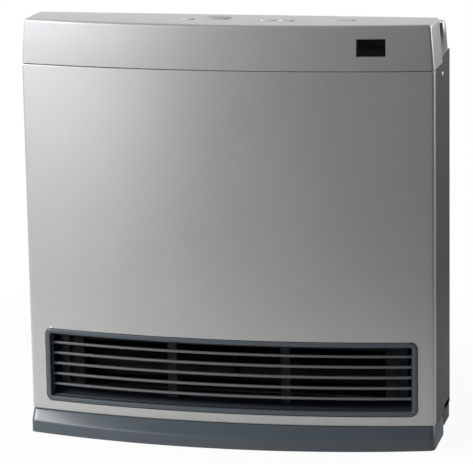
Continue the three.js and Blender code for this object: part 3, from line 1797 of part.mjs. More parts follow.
function igniterSolid() {
  const y0 = fanAxisY - igniterDepth / 2;
  const body = box(
    leftFaceX - igniterWidth,
    leftFaceX,
    y0,
    y0 + igniterDepth,
    igniterBottom,
    igniterBottom + igniterHeight,
  );
  const posts = [igniterPostInset, igniterDepth - igniterPostInset].map((dy) => raised(
    circle(leftFaceX - igniterWidth / 2, y0 + dy, igniterPostRadius, igniterPostSides),
    igniterBottom + igniterHeight - boardSink,
    igniterBottom + igniterHeight + igniterPostRise,
  ));
  return join(body, ...posts);
}

// ---------------------------------------------------------------------------------------
// Putting it together
// ---------------------------------------------------------------------------------------

const base = assembly();
piece(base, 'plinth', plinthSolid(), finishes.slateMoulding);
footPlaces.forEach(([x, y], index) => {
  piece(base, footNames[index], footSolid(), finishes.rubber, [x, y, 0]);
});
piece(base, 'rear_lower_cover', rearLowerCoverSolid(), finishes.charcoalMoulding);

const skins = assembly();
piece(skins, 'front_panel', frontPanelSolid(), finishes.silverPaint);
piece(skins, 'top_cover', topCoverSolid(), finishes.silverMoulding);
piece(skins, 'rear_top_cover', rearTopSolid(), finishes.silverMoulding);
const rightSide = sidePanelSolid();
piece(skins, 'side_panel_right', rightSide, finishes.silverPaint);
piece(skins, 'side_panel_left', rightSide.mirror([1, 0, 0]), finishes.silverPaint);
const rightScrew = sideScrewSolid();
const screwPlace = [sideOuterX, cornerY + sideScrewDepth, sideScrewHeight];
piece(skins, 'side_screw_right', rightScrew, finishes.brightSteel, screwPlace);
piece(skins, 'side_screw_left', rightScrew.mirror([1, 0, 0]), finishes.brightSteel, [-screwPlace[0], screwPlace[1], screwPlace[2]]);
piece(skins, 'rear_casing', rearCasingSolid(), finishes.silverMoulding);

const filters = assembly();
const filterX = (pocketNearX + pocketFarX) / 2;
const filterY = pocketFloorY + seatGap;
const filterZ = pocketBottom + seatGap;
piece(filters, 'filter_left', filterSolid(), finishes.filterMesh, [-filterX, filterY, filterZ]);
piece(filters, 'filter_right', filterSolid(), finishes.filterMesh, [filterX, filterY, filterZ]);

const controls = assembly();
piece(controls, 'display_window', displayWindowSolid(), finishes.blackLens);
piece(controls, 'display_board', displayBoardSolid(), finishes.circuitBoard);
piece(controls, 'switch_board', switchBoardSolid(), finishes.circuitBoard);
Object.entries(buttonSizes).forEach(([name, size]) => {
  const material = name === 'button_power' ? finishes.darkButton : finishes.lightButton;
  piece(controls, name, buttonSolid(size), material, [size.x, cornerY + size.setBack, coverTop]);
});

const louvre = assembly();
piece(louvre, 'louvre_frame', louvreFrameSolid(), finishes.slateMoulding);
for (let index = 0; index < bladeCount; index += 1) {
  const z = lowestBladeHeight + index * bladePitch;
  piece(louvre, `louvre_blade_${index + 1}`, bladeSolid(), finishes.slateMoulding, [0, 0, z]);
}
stayPlaces.forEach((x, index) => {
  piece(louvre, `louvre_stay_${index + 1}`, staySolid(x), finishes.slateMoulding, [x, 0, 0]);
});

const fan = assembly();
fan.position.set(0, fanAxisY, fanAxisHeight);
piece(fan, 'fan_impeller', impellerSolid(), finishes.fanPlastic);
piece(fan, 'fan_stub_left', stubShaftSolid(leftStubLength), finishes.brightSteel, [-innerStubEnd - leftStubLength, 0, 0]);
piece(fan, 'fan_stub_right', stubShaftSolid(rightStubLength), finishes.brightSteel, [innerStubEnd, 0, 0]);
piece(fan, 'fan_motor', motorSolid(), finishes.zincSteel, [motorFaceX, 0, 0]);
piece(fan, 'fan_bearing', bearingSolid(), finishes.brass, [partitionX + sheetWall + seatGap, 0, 0]);

const chassis = assembly();
piece(chassis, 'chassis_floor', chassisFloorSolid(), finishes.zincSteel);
piece(chassis, 'partition_right', partitionSolid(stubShaftRadius + 1.5, true), finishes.zincSteel);
piece(chassis, 'partition_left', partitionSolid(stubShaftRadius + 4, false).mirror([1, 0, 0]), finishes.zincSteel);
piece(chassis, 'top_rail', topRailSolid(), finishes.zincSteel);
piece(chassis, 'fan_scroll', scrollSolid(), finishes.zincSteel);
piece(chassis, 'fan_tongue', tongueSolid(), finishes.zincSteel);

const gas = assembly();
piece(gas, 'combustion_chamber', chamberSolid(), finishes.heatSteel);
piece(gas, 'burner', burnerSolid(), finishes.heatSteel);
piece(gas, 'gas_valve', gasValveSolid(), finishes.castAlloy);
piece(gas, 'gas_injector', injectorSolid(), finishes.brass);
piece(gas, 'gas_pipe', gasPipeSolid(), finishes.castAlloy);
piece(gas, 'gas_inlet', gasInletSolid(), finishes.brass, [gasRecessX, gasRecessFloorY, gasRecessCentreZ]);
piece(gas, 'ignition_electrode', electrodeSolid(electrodeReach), finishes.ceramic, [-electrodeX, chamberFrontY, electrodeZ]);
piece(gas, 'flame_sensor', electrodeSolid(electrodeReach + 4), finishes.ceramic, [electrodeX, chamberFrontY, electrodeZ]);

const electrics = assembly();
piece(electrics, 'control_board', controlBoardSolid(), finishes.circuitBoard);
piece(
  electrics,
  'cord_gland',
  cordGlandSolid(),
  finishes.rubber,
  [-gasRecessX, cordRecessFloorY, cordRecessHeightAboveFloor],
);
piece(electrics, 'transformer', transformerSolid(), finishes.zincSteel);
piece(electrics, 'igniter_module', igniterSolid(), finishes.charcoalMoulding);

export default heater;
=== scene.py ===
"""Dresses a slim gas convector heater: bowed steel front, moulded covers, louvre and plinth.

Metres, +Z up, the front faces -Y. Every new piece stands exactly where the solid it
replaces stands, and rides on the same body.
"""

import logging
import math
from dataclasses import dataclass
from enum import Enum
from typing import Callable, Iterable, Optional, Sequence, Union

import bmesh
import bpy
from mathutils import Matrix, Vector


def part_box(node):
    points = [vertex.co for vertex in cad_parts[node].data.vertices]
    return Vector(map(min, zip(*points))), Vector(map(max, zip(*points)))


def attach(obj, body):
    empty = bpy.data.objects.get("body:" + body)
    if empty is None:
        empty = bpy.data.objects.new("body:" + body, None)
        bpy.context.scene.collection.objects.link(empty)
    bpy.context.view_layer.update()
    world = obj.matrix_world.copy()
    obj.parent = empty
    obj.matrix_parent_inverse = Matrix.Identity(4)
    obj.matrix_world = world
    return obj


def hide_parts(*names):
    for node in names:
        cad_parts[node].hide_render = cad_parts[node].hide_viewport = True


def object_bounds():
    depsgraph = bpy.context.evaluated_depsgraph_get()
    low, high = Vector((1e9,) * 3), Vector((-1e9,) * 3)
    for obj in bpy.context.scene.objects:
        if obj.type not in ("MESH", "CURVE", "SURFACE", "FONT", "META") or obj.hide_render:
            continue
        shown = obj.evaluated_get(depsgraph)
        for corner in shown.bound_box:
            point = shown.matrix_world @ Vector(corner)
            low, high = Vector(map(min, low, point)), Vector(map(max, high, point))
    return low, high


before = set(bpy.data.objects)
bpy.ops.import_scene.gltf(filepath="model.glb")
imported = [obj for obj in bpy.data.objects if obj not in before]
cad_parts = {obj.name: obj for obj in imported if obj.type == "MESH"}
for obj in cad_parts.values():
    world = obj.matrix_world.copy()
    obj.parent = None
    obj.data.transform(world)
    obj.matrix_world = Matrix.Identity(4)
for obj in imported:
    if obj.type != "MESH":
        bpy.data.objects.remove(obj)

CAD_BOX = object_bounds()
BENCH = logging.getLogger("heater")
Colour = tuple[float, float, float]
Triple = tuple[float, float, float]

# What places an outline at one step of a stack, mostly its inset and its height
Level = tuple[float, float]

# Each side's name and which way it lies in X
SIDES = (("left", -1), ("right", 1))
QUARTER = math.pi / 2

# Distances within which points merge, a cut snaps, sides touch and a face lies on a plane
MERGE_REACH = 0.000002
CUT_REACH = 0.0000005
TOUCHING = 0.00001
NEAR = 0.0001

# Turn up to which faces are one flat, and share of a face's normal along the axis of a cut
FLAT_ANGLE = math.radians(0.3)
FACING = 0.3

# Chords in a round, an outline's corner, a plan's front corner and an eased edge
ROUND_STEPS = 5
CORNER_STEPS = 6
FRONT_CORNER_STEPS = 8
EASE_STEPS = 2


# ----------------------------------------------------------------------------------------
# Shader building
# ----------------------------------------------------------------------------------------


class Field:
    """A shader value that takes part in Python arithmetic."""

    def __init__(self, graph: "ShaderGraph", socket: bpy.types.NodeSocket) -> None:
        """Keeps the socket and the graph that its maths nodes are added to."""
        self.graph = graph
        self.socket = socket

    def _math(self, operation: str, *values: Union["Field", float]) -> "Field":
        """Adds one Math node.

        Args:
            operation: The node's operation.
            values: Its inputs in order.

        Returns:
            The node's result.
        """
        node = self.graph.add("ShaderNodeMath", {"operation": operation}, dict(enumerate(values)))
        return Field(self.graph, node.outputs[0])

    def __add__(self, other: Union["Field", float]) -> "Field":
        """Sum."""
        return self._math("ADD", self, other)

    __radd__ = __add__

    def __sub__(self, other: Union["Field", float]) -> "Field":
        """Difference."""
        return self._math("SUBTRACT", self, other)

    def __rsub__(self, other: Union["Field", float]) -> "Field":
        """Reflected difference."""
        return self._math("SUBTRACT", other, self)

    def __mul__(self, other: Union["Field", float]) -> "Field":
        """Product."""
        return self._math("MULTIPLY", self, other)

    def __gt__(self, other: Union["Field", float]) -> "Field":
        """1 where this is the greater, otherwise 0."""
        return self._math("GREATER_THAN", self, other)

    def clamped(self) -> "Field":
        """The value held between 0 and 1."""
        return self._math("MAXIMUM", self._math("MINIMUM", self, 1.0), 0.0)


class ShaderGraph:
    """One material's nodes, built by name."""

    def __init__(self, name: str) -> None:
        """Starts a material with its principled shader.

        Args:
            name: What the material is for.
        """
        self.material = bpy.data.materials.new(f"{name}_finish")
        self.material.use_nodes = True
        self.nodes = self.material.node_tree.nodes
        self.links = self.material.node_tree.links
        self.shader = self.nodes["Principled BSDF"]

    @classmethod
    def on_tree(cls, tree: bpy.types.NodeTree) -> "ShaderGraph":
        """A graph on a node tree that is already there, such as the world's.

        Args:
            tree: The node tree.

        Returns:
            The graph, without a material or a shader.
        """
        graph = cls.__new__(cls)
        graph.nodes, graph.links = tree.nodes, tree.links
        return graph

    def add(
        self,
        kind: str,
        settings: Optional[dict[str, object]] = None,
        inputs: Optional[dict[Union[str, int], object]] = None,
    ) -> bpy.types.Node:
        """Adds one node, its settings first and then its sockets.

        Args:
            kind: The node's type.
            settings: Attributes of the node, such as its operation.
            inputs: Values, fields or sockets by the input's name or number.

        Returns:
            The new node.
        """
        node = self.nodes.new(kind)
        for name, value in (settings or {}).items():
            setattr(node, name, value)
        for key, value in (inputs or {}).items():
            self.feed(node.inputs[key], value)
        return node

    def feed(self, target: bpy.types.NodeSocket, value: object) -> None:
        """Links a field or socket to an input, or writes a plain value there.

        Args:
            target: The input socket.
            value: A Field, a socket, a number or a colour.
        """
        if isinstance(value, Field):
            self.links.new(value.socket, target)
        elif isinstance(value, bpy.types.NodeSocket):
            self.links.new(value, target)
        elif isinstance(value, tuple) and target.type == "RGBA":
            target.default_value = (*value, 1.0)
        else:
            target.default_value = value

    def dress(self, **sockets: object) -> None:
        """Sets the principled shader's inputs.

        Args:
            sockets: Input names with underscores for spaces, and what goes in.
        """
        for name, value in sockets.items():
            self.feed(self.shader.inputs[name.replace("_", " ")], value)

    def place(self, stretch: Triple = (1.0, 1.0, 1.0)) -> bpy.types.NodeSocket:
        """The object's own coordinates, stretched for a directional grain.

        Args:
            stretch: Factor along each axis.

        Returns:
            The vector socket.
        """
        own = self.add("ShaderNodeTexCoord").outputs["Object"]
        return self.add("ShaderNodeMapping", None, {"Vector": own, "Scale": stretch}).outputs[0]

    def noise(self, grain: float, detail: float = 2.0, stretch: Triple = (1.0, 1.0, 1.0)) -> Field:
        """Smooth noise with features of a real size.

        Args:
            grain: Size of the features in metres.
            detail: Octaves.
            stretch: Factor along each axis.

        Returns:
            A value about 0.5.
        """
        inputs = {"Vector": self.place(stretch), "Scale": 1.0 / grain, "Detail": detail}
        return Field(self, self.add("ShaderNodeTexNoise", None, inputs).outputs[0])

    def cells(self, grain: float) -> Field:
        """Random value per cell, with cells of a real size.

        Args:
            grain: Size of a cell in metres.

        Returns:
            A value from 0 to 1.
        """
        inputs = {"Vector": self.place(), "Scale": 1.0 / grain}
        node = self.add("ShaderNodeTexVoronoi", None, inputs)
        split = self.add("ShaderNodeSeparateColor", None, {0: node.outputs["Color"]})
        return Field(self, split.outputs[0])

    def blend(self, factor: Field, low: Colour, high: Colour) -> bpy.types.NodeSocket:
        """A colour between two, by a factor.

        Args:
            factor: 0 gives low and 1 gives high.
            low: Linear colour.
            high: Linear colour.

        Returns:
            The colour socket.
        """
        inputs = {0: factor.clamped(), 6: low, 7: high}
        return self.add("ShaderNodeMix", {"data_type": "RGBA"}, inputs).outputs[2]

    def relief(self, height: Field, depth: float) -> bpy.types.NodeSocket:
        """A bumped normal.

        Args:
            height: From 0 to 1.
            depth: What a height of 1 stands for, in metres.

        Returns:
            The normal socket.
        """
        inputs = {"Height": height, "Distance": depth, "Strength": 1.0}
        return self.add("ShaderNodeBump", None, inputs).outputs[0]


def spread(colour: Colour, share: float) -> tuple[Colour, Colour]:
    """A darker and a lighter version of one colour.

    Args:
        colour: Linear colour.
        share: How far each is from it.

    Returns:
        The dark and the light colour.
    """
    return tuple(c * (1 - share) for c in colour), tuple(min(1.0, c * (1 + share)) for c in colour)


@dataclass(frozen=True)
class SprayPaint:
    """Metallic silver paint: fine flakes under a satin coat with a little orange peel."""

    name: str
    colour: Colour
    metallic: float = 0.72
    roughness: float = 0.31
    flake: float = 0.00045
    flake_share: float = 0.1
    peel: float = 0.0035
    peel_depth: float = 0.0000045
    cloud: float = 0.09
    coat: float = 0.12
    coat_roughness: float = 0.3
    flake_tint: float = 0.75
    cloud_tint: float = 0.3
    flake_metal: float = 0.16
    flake_sheen: float = 0.08
    cloud_sheen: float = 0.07
    flake_relief: float = 0.12

    def build(self) -> bpy.types.Material:
        """The material, with flakes, clouding and orange peel."""
        graph = ShaderGraph(self.name)
        flakes = graph.cells(self.flake)
        clouds = graph.noise(self.cloud, 3.0)
        dark, light = spread(self.colour, self.flake_share)
        sheen = self.roughness + (clouds - 0.5) * self.cloud_sheen + (flakes - 0.5) * self.flake_sheen
        relief = graph.noise(self.peel) + flakes * self.flake_relief
        graph.dress(
            Base_Color=graph.blend(flakes * self.flake_tint + clouds * self.cloud_tint, dark, light),
            Metallic=self.metallic + (flakes - 0.5) * self.flake_metal,
            Roughness=sheen,
            Normal=graph.relief(relief, self.peel_depth),
            Coat_Weight=self.coat,
            Coat_Roughness=self.coat_roughness,
        )
        return graph.material


@dataclass(frozen=True)
class Moulding:
    """Injection-moulded plastic with a fine spark-eroded grain."""

    name: str
    colour: Colour
    roughness: float = 0.5
    grain: float = 0.0005
    grain_depth: float = 0.00002
    variation: float = 0.06
    metallic: float = 0.0
    streak: float = 0.04
    streak_stretch: Triple = (0.35, 1.0, 1.0)
    flow_tint: float = 0.7
    grain_tint: float = 0.3
    flow_sheen: float = 0.08
    grain_sheen: float = 0.12
    specular: float = 0.5
    slot: str = ""

    def build(self) -> bpy.types.Material:
        """The material, with grain, faint flow marks and a varied sheen."""
        graph = ShaderGraph(self.name)
        grain = graph.noise(self.grain, 3.0)
        flow = graph.noise(self.streak, 2.0, self.streak_stretch)
        dark, light = spread(self.colour, self.variation)
        graph.dress(
            Base_Color=graph.blend(flow * self.flow_tint + grain * self.grain_tint, dark, light),
            Metallic=self.metallic,
            Roughness=self.roughness + (grain - 0.5) * self.grain_sheen + (flow - 0.5) * self.flow_sheen,
            Specular_IOR_Level=self.specular,
            Normal=graph.relief(grain, self.grain_depth),
        )
        return graph.material


@dataclass(frozen=True)
class GlossLens:
    """Smoked clear plastic over a dark display."""

    name: str
    colour: Colour
    roughness: float = 0.07
    smear: float = 0.012
    smear_stretch: Triple = (1.0, 1.0, 3.0)
    smear_share: float = 0.25
    smear_sheen: float = 0.06
    coat: float = 0.6
    coat_roughness: float = 0.04

    def build(self) -> bpy.types.Material:
        """The material: near black, with a faintly smeared gloss."""
        graph = ShaderGraph(self.name)
        smear = graph.noise(self.smear, 3.0, self.smear_stretch)
        dark, light = spread(self.colour, self.smear_share)
        graph.dress(
            Base_Color=graph.blend(smear, dark, light),
            Roughness=self.roughness + (smear - 0.5) * self.smear_sheen,
            Coat_Weight=self.coat,
            Coat_Roughness=self.coat_roughness,
        )
        return graph.material


@dataclass(frozen=True)
class RolledMetal:
    """Sheet or turned metal with a directional grain and mottled oxide or spangle."""

    name: str
    colour: Colour
    roughness: float = 0.4
    metallic: float = 0.9
    grain: float = 0.0009
    along: Triple = (0.12, 1.0, 1.0)
    mottle: float = 0.006
    mottle_share: float = 0.14
    depth: float = 0.000006
    mottle_tint: float = 0.6
    line_tint: float = 0.4
    mottle_sheen: float = 0.1
    line_sheen: float = 0.16

    def build(self) -> bpy.types.Material:
        """The material, with rolling lines and mottling."""
        graph = ShaderGraph(self.name)
        lines = graph.noise(self.grain, 2.0, self.along)
        mottle = graph.cells(self.mottle)
        dark, light = spread(self.colour, self.mottle_share)
        graph.dress(
            Base_Color=graph.blend(mottle * self.mottle_tint + lines * self.line_tint, dark, light),
            Metallic=self.metallic,
            Roughness=self.roughness + (lines - 0.5) * self.line_sheen + (mottle - 0.5) * self.mottle_sheen,
            Normal=graph.relief(lines, self.depth),
        )
        return graph.material


@dataclass(frozen=True)
class Laminate:
    """Circuit board: green lacquer with paler copper tracks under it."""

    name: str
    colour: Colour
    track: Colour
    track_size: float = 0.0045
    track_level: float = 0.62
    track_depth: float = 0.00003
    track_tint: float = 0.7
    weave: float = 0.0006
    weave_tint: float = 0.2
    weave_sheen: float = 0.1
    roughness: float = 0.42

    def build(self) -> bpy.types.Material:
        """The material, with tracks from blocky noise."""
        graph = ShaderGraph(self.name)
        tracks = graph.cells(self.track_size) > self.track_level
        weave = graph.noise(self.weave, 2.0)
        cover = tracks * self.track_tint + weave * self.weave_tint
        graph.dress(
            Base_Color=graph.blend(cover, self.colour, self.track),
            Roughness=self.roughness + (weave - 0.5) * self.weave_sheen,
            Normal=graph.relief(tracks, self.track_depth),
        )
        return graph.material


class Finish(Enum):
    """Every finish on the heater, under the name of its slot in the record."""

    SILVER_PAINT = SprayPaint("silver_paint", (0.475, 0.477, 0.468), roughness=0.36, metallic=0.42)
    SILVER_MOULDING = SprayPaint("silver_moulding", (0.515, 0.52, 0.532), roughness=0.36, metallic=0.42)
    SLATE_MOULDING = Moulding("slate_moulding", (0.068, 0.083, 0.095), roughness=0.33)
    # A lighter copy of slate_moulding for the blades: painted light on their front edges
    SLATE_BLADE = Moulding("slate_blade_painted_light", (0.112, 0.116, 0.122), roughness=0.33, slot="slate_moulding")
    # A darker copy of slate_moulding for the louvre's tunnel and stays: painted shade inside the outlet
    SLATE_SHADOW = Moulding(
        "slate_painted_shade", (0.016, 0.021, 0.027), roughness=0.45, specular=0.3, slot="slate_moulding"
    )
    CHARCOAL_MOULDING = Moulding("charcoal_moulding", (0.045, 0.046, 0.044), grain_depth=0.00004)
    BLACK_LENS = GlossLens("black_lens", (0.004, 0.003, 0.0035))
    DARK_BUTTON = Moulding("dark_button", (0.42, 0.42, 0.42), roughness=0.4, grain=0.0003)
    LIGHT_BUTTON = Moulding("light_button", (0.62, 0.63, 0.64), roughness=0.4, grain=0.0003, variation=0.03)
    ZINC_STEEL = RolledMetal("zinc_steel", (0.32, 0.33, 0.34), mottle=0.009)
    # Near black partly for heat-darkened steel, partly painted shade inside the outlet
    HEAT_STEEL = RolledMetal(
        "heat_steel", (0.03, 0.028, 0.026), roughness=0.6, metallic=0.6, mottle=0.02, mottle_share=0.3
    )
    # Near black partly for the fan's own dark plastic, partly painted shade inside the outlet
    FAN_PLASTIC = Moulding("fan_plastic", (0.004, 0.0045, 0.005), roughness=0.55, specular=0.2)
    BRASS = RolledMetal("brass", (0.55, 0.38, 0.11), roughness=0.3)
    CAST_ALLOY = RolledMetal(
        "cast_alloy", (0.36, 0.365, 0.37), roughness=0.5, along=(1.0, 1.0, 1.0), depth=0.00003
    )
    BRIGHT_STEEL = RolledMetal("bright_steel", (0.52, 0.53, 0.54), roughness=0.26)
    CIRCUIT_BOARD = Laminate("circuit_board", (0.02, 0.12, 0.045), (0.06, 0.26, 0.09))
    CERAMIC = Moulding("ceramic", (0.78, 0.75, 0.68), roughness=0.3, grain=0.0008, grain_depth=0.000004)
    RUBBER = Moulding("rubber", (0.012, 0.012, 0.013), roughness=0.8, grain=0.0007)
    FILTER_MESH = Moulding("filter_mesh", (0.05, 0.055, 0.06), roughness=0.6, grain=0.0004)

    @property
    def material(self) -> bpy.types.Material:
        """The finish's own material, built the first time that it is asked for."""
        return bpy.data.materials.get(f"{self.value.name}_finish") or self.value.build()

    @property
    def slot(self) -> str:
        """The record's slot that this finish answers to."""
        return getattr(self.value, "slot", "") or self.value.name


# ----------------------------------------------------------------------------------------
# Plan geometry
# ----------------------------------------------------------------------------------------


@dataclass(frozen=True)
class Bow:
    """A front face that is one arc in plan."""

    radius: float
    apex: float

    @classmethod
    def through(cls, half: float, corner: float, apex: float) -> "Bow":
        """The arc through both front corners and the middle.

        Args:
            half: Half the width at the corners.
            corner: Y of the corners.
            apex: Y of the middle.

        Returns:
            The bow.
        """
        rise = corner - apex
        return cls((half**2 + rise**2) / (2 * rise), apex)

    def depth_at(self, x: float) -> float:
        """Y of the face at a distance from the middle."""
        return self.apex + self.radius - math.sqrt(self.radius**2 - x**2)

    def inset(self, distance: float) -> "Bow":
        """The same bow, a distance behind this one."""
        return Bow(self.radius - distance, self.apex + distance)


@dataclass(frozen=True)
class PlanPoint:
    """A point of an outline and the way out from it, mitred at a sharp corner."""

    x: float
    y: float
    out_x: float
    out_y: float


def arc_points(cx: float, cy: float, radius: float, start: float, end: float, steps: int) -> list[PlanPoint]:
    """Points round part of a circle.

    Args:
        cx: Centre.
        cy: Centre.
        radius: Radius.
        start: First angle in radians.
        end: Last angle.
        steps: Number of chords.

    Returns:
        The points, both ends among them.
    """
    angles = [start + (end - start) * step / steps for step in range(steps + 1)]
    ways = [(math.cos(angle), math.sin(angle)) for angle in angles]
    return [PlanPoint(cx + radius * c, cy + radius * s, c, s) for c, s in ways]


def quarter_turns(steps: int) -> list[float]:
    """Angles that step through a quarter circle, both ends among them."""
    return [QUARTER * step / steps for step in range(steps + 1)]


def rounded_rectangle(
    x0: float, y0: float, x1: float, y1: float, radius: float, step: float
) -> list[PlanPoint]:
    """A closed outline with round corners and evenly stepped straight runs.

    Args:
        x0: Low corner.
        y0: Low corner.
        x1: High corner.
        y1: High corner.
        radius: Corner radius.
        step: Longest distance between points along the straight runs in x.

    Returns:
        The points, anticlockwise from the low corner.
    """
    left, right, low, high = x0 + radius, x1 - radius, y0 + radius, y1 - radius
    points = []
    for cx, cy, turn in ((right, low, 3), (right, high, 0), (left, high, 1), (left, low, 2)):
        points += arc_points(cx, cy, radius, turn * QUARTER, (turn + 1) * QUARTER, CORNER_STEPS)
    runs = max(1, math.ceil((x1 - x0 - 2 * radius) / step))
    stops = [x0 + radius + (x1 - x0 - 2 * radius) * n / runs for n in range(1, runs)]
    top = [PlanPoint(x, y1, 0.0, 1.0) for x in reversed(stops)]
    bottom = [PlanPoint(x, y0, 0.0, -1.0) for x in stops]
    half_way = 2 * (CORNER_STEPS + 1)
    return points[:half_way] + top + points[half_way:] + bottom


def bowed_front(
    bow: Bow, half: float, corner_radius: float, step: float, stops: Sequence[float] = ()
) -> list[PlanPoint]:
    """The front of a plan from the left side round to the right side.

    Args:
        bow: The front face.
        half: Half the width.
        corner_radius: Radius of the front corners.
        step: Distance between points along the bow.
        stops: Places in x that also get a point, such as an opening's ends.

    Returns:
        The points from left to right.
    """
    cy = bow.apex + bow.radius
    turn = math.asin((half - corner_radius) / (bow.radius - corner_radius))
    corner_x = half - corner_radius
    corner_y = cy - (bow.radius - corner_radius) * math.cos(turn)
    count = math.ceil(2 * turn * bow.radius / step)
    down = -QUARTER
    left = arc_points(-corner_x, corner_y, corner_radius, -math.pi, down - turn, FRONT_CORNER_STEPS)
    middle = arc_points(0.0, cy, bow.radius, down - turn, down + turn, count)[1:-1]
    right = arc_points(corner_x, corner_y, corner_radius, down + turn, 0.0, FRONT_CORNER_STEPS)
    middle = [point for point in middle if all(abs(point.x - x) > step / 2 for x in stops)]
    extra = [arc_points(0.0, cy, bow.radius, down + math.asin(x / bow.radius), 0.0, 1)[0] for x in stops]
    return left + sorted(middle + extra, key=lambda point: point.x) + right


# ----------------------------------------------------------------------------------------
# The bench: mesh operators
# ----------------------------------------------------------------------------------------

Place = Callable[[PlanPoint, Level], Vector]


class Workpiece:
    """A mesh on the bench and the operators that shape it."""

    def __init__(self) -> None:
        """Starts with nothing."""
        self.bm = bmesh.new()

    @classmethod
    def from_node(cls, node: str) -> "Workpiece":
        """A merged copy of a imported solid, with its flat faces whole again.

        Args:
            node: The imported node's name.

        Returns:
            The workpiece.
        """
        piece = cls()
        piece.bm.from_mesh(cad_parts[node].data)
        verts, edges = piece.bm.verts, piece.bm.edges
        bmesh.ops.remove_doubles(piece.bm, verts=verts, dist=MERGE_REACH)
        bmesh.ops.dissolve_limit(piece.bm, angle_limit=FLAT_ANGLE, verts=verts, edges=edges)
        return piece

    def stack(
        self,
        plan: Sequence[PlanPoint],
        levels: Sequence[Level],
        place: Place,
        closed: bool = True,
    ) -> list[bmesh.types.BMEdge]:
        """Raises an outline through levels, one extrusion for each.

        Args:
            plan: The outline.
            levels: Inset and height of each level.
            place: Gives a point's position at a level.
            closed: Whether the outline's ends join.

        Returns:
            The edges of the last level.
        """
        bm = self.bm
        mark = bm.verts.layers.int.get("plan") or bm.verts.layers.int.new("plan")
        ring = [bm.verts.new(place(point, levels[0])) for point in plan]
        for index, vert in enumerate(ring):
            vert[mark] = index
        pairs = list(zip(ring, ring[1:])) + ([(ring[-1], ring[0])] if closed else [])
        edges = [bm.edges.new(pair) for pair in pairs]
        for level in levels[1:]:
            grown = bmesh.ops.extrude_edge_only(bm, edges=edges)["geom"]
            fresh = {g for g in grown if isinstance(g, bmesh.types.BMVert)}
            edges = [g for g in grown if isinstance(g, bmesh.types.BMEdge) and set(g.verts) <= fresh]
            for vert in fresh:
                vert.co = place(plan[vert[mark]], level)
        return edges

    def close(self, edges: Sequence[bmesh.types.BMEdge]) -> None:
        """Fills a loop of edges with one face."""
        bmesh.ops.contextual_create(self.bm, geom=list(edges))

    def close_rest(self) -> None:
        """Fills the one loop that is still open."""
        self.close([edge for edge in self.bm.edges if edge.is_boundary])

    def faces_where(self, test: Callable[[Vector], bool]) -> list[bmesh.types.BMFace]:
        """The faces whose middle passes a test."""
        return [face for face in self.bm.faces if test(face.calc_center_median())]

    def remove(self, faces: Sequence[bmesh.types.BMFace]) -> None:
        """Takes faces away."""
        bmesh.ops.delete(self.bm, geom=faces, context="FACES")

    def bisect(self, faces: Iterable[bmesh.types.BMFace], at: Vector, normal: Vector) -> None:
        """Cuts some faces by a plane and keeps both sides.

        Args:
            faces: The faces to cut.
            at: A point of the plane.
            normal: Its normal.
        """
        faces = list(faces)
        geom = list({g for f in faces for g in (*f.verts, *f.edges)}) + faces
        bmesh.ops.bisect_plane(self.bm, geom=geom, plane_co=at, plane_no=normal, dist=CUT_REACH)

    def slice(self, axis: int, at: float, faces: Optional[Iterable[bmesh.types.BMFace]] = None) -> None:
        """Cuts faces square to an axis and keeps both sides.

        Args:
            axis: 0, 1 or 2 for X, Y or Z.
            at: Where on that axis the cut lies.
            faces: The faces to cut, or None for the whole piece.
        """
        spot, normal = Vector(), Vector()
        spot[axis], normal[axis] = at, 1.0
        self.bisect(self.bm.faces if faces is None else faces, spot, normal)

    def punch(self, outline: Sequence[PlanPoint], axis: int, span: tuple[float, float]) -> None:
        """Cuts a convex outline out of the faces that it covers, along Y or Z.

        Args:
            outline: The outline in x and the other coordinate across the axis.
            axis: 1 to cut along Y, 2 to cut along Z.
            span: Range along the axis in which faces are cut.
        """
        across = 3 - axis
        low = (min(p.x for p in outline), min(p.y for p in outline))
        high = (max(p.x for p in outline), max(p.y for p in outline))
        sides = list(zip(outline, [*outline[1:], outline[0]]))

        def point(x: float, y: float) -> Vector:
            """A point of the outline's plane."""
            place = Vector((x, 0.0, 0.0))
            place[across] = y
            return place

        def covered() -> list[bmesh.types.BMFace]:
            """Faces that overlap the outline's box within the span."""
            found = []
            for face in self.bm.faces:
                xs = [v.co.x for v in face.verts]
                ys = [v.co[across] for v in face.verts]
                inside = span[0] <= face.calc_center_median()[axis] <= span[1]
                wide = min(xs) < high[0] - TOUCHING and max(xs) > low[0] + TOUCHING
                tall = min(ys) < high[1] - TOUCHING and max(ys) > low[1] + TOUCHING
                if inside and wide and tall and abs(face.normal[axis]) > FACING:
                    found.append(face)
            return found

        def enclosed(face: bmesh.types.BMFace) -> bool:
            """Whether a face's middle lies to the left of every side."""
            middle = face.calc_center_median()
            return all(
                (b.x - a.x) * (middle[across] - a.y) - (b.y - a.y) * (middle.x - a.x) > 0
                for a, b in sides
                if abs(b.x - a.x) + abs(b.y - a.y) > TOUCHING
            )

        self.bm.normal_update()
        for x in (low[0], high[0]):
            self.slice(0, x, covered())
        for y in (low[1], high[1]):
            self.slice(across, y, covered())
        for here, there in sides:
            run, rise = there.x - here.x, there.y - here.y
            if abs(run) >= TOUCHING and abs(rise) >= TOUCHING:
                self.bisect(covered(), point(here.x, here.y), point(-rise, run))
        self.remove([face for face in covered() if enclosed(face)])

    def clean(self, reach: float = 0.00002) -> None:
        """Merges what lies together and turns every face outwards."""
        bmesh.ops.remove_doubles(self.bm, verts=self.bm.verts, dist=reach)
        bmesh.ops.dissolve_degenerate(self.bm, dist=reach, edges=self.bm.edges)
        bmesh.ops.recalc_face_normals(self.bm, faces=self.bm.faces)

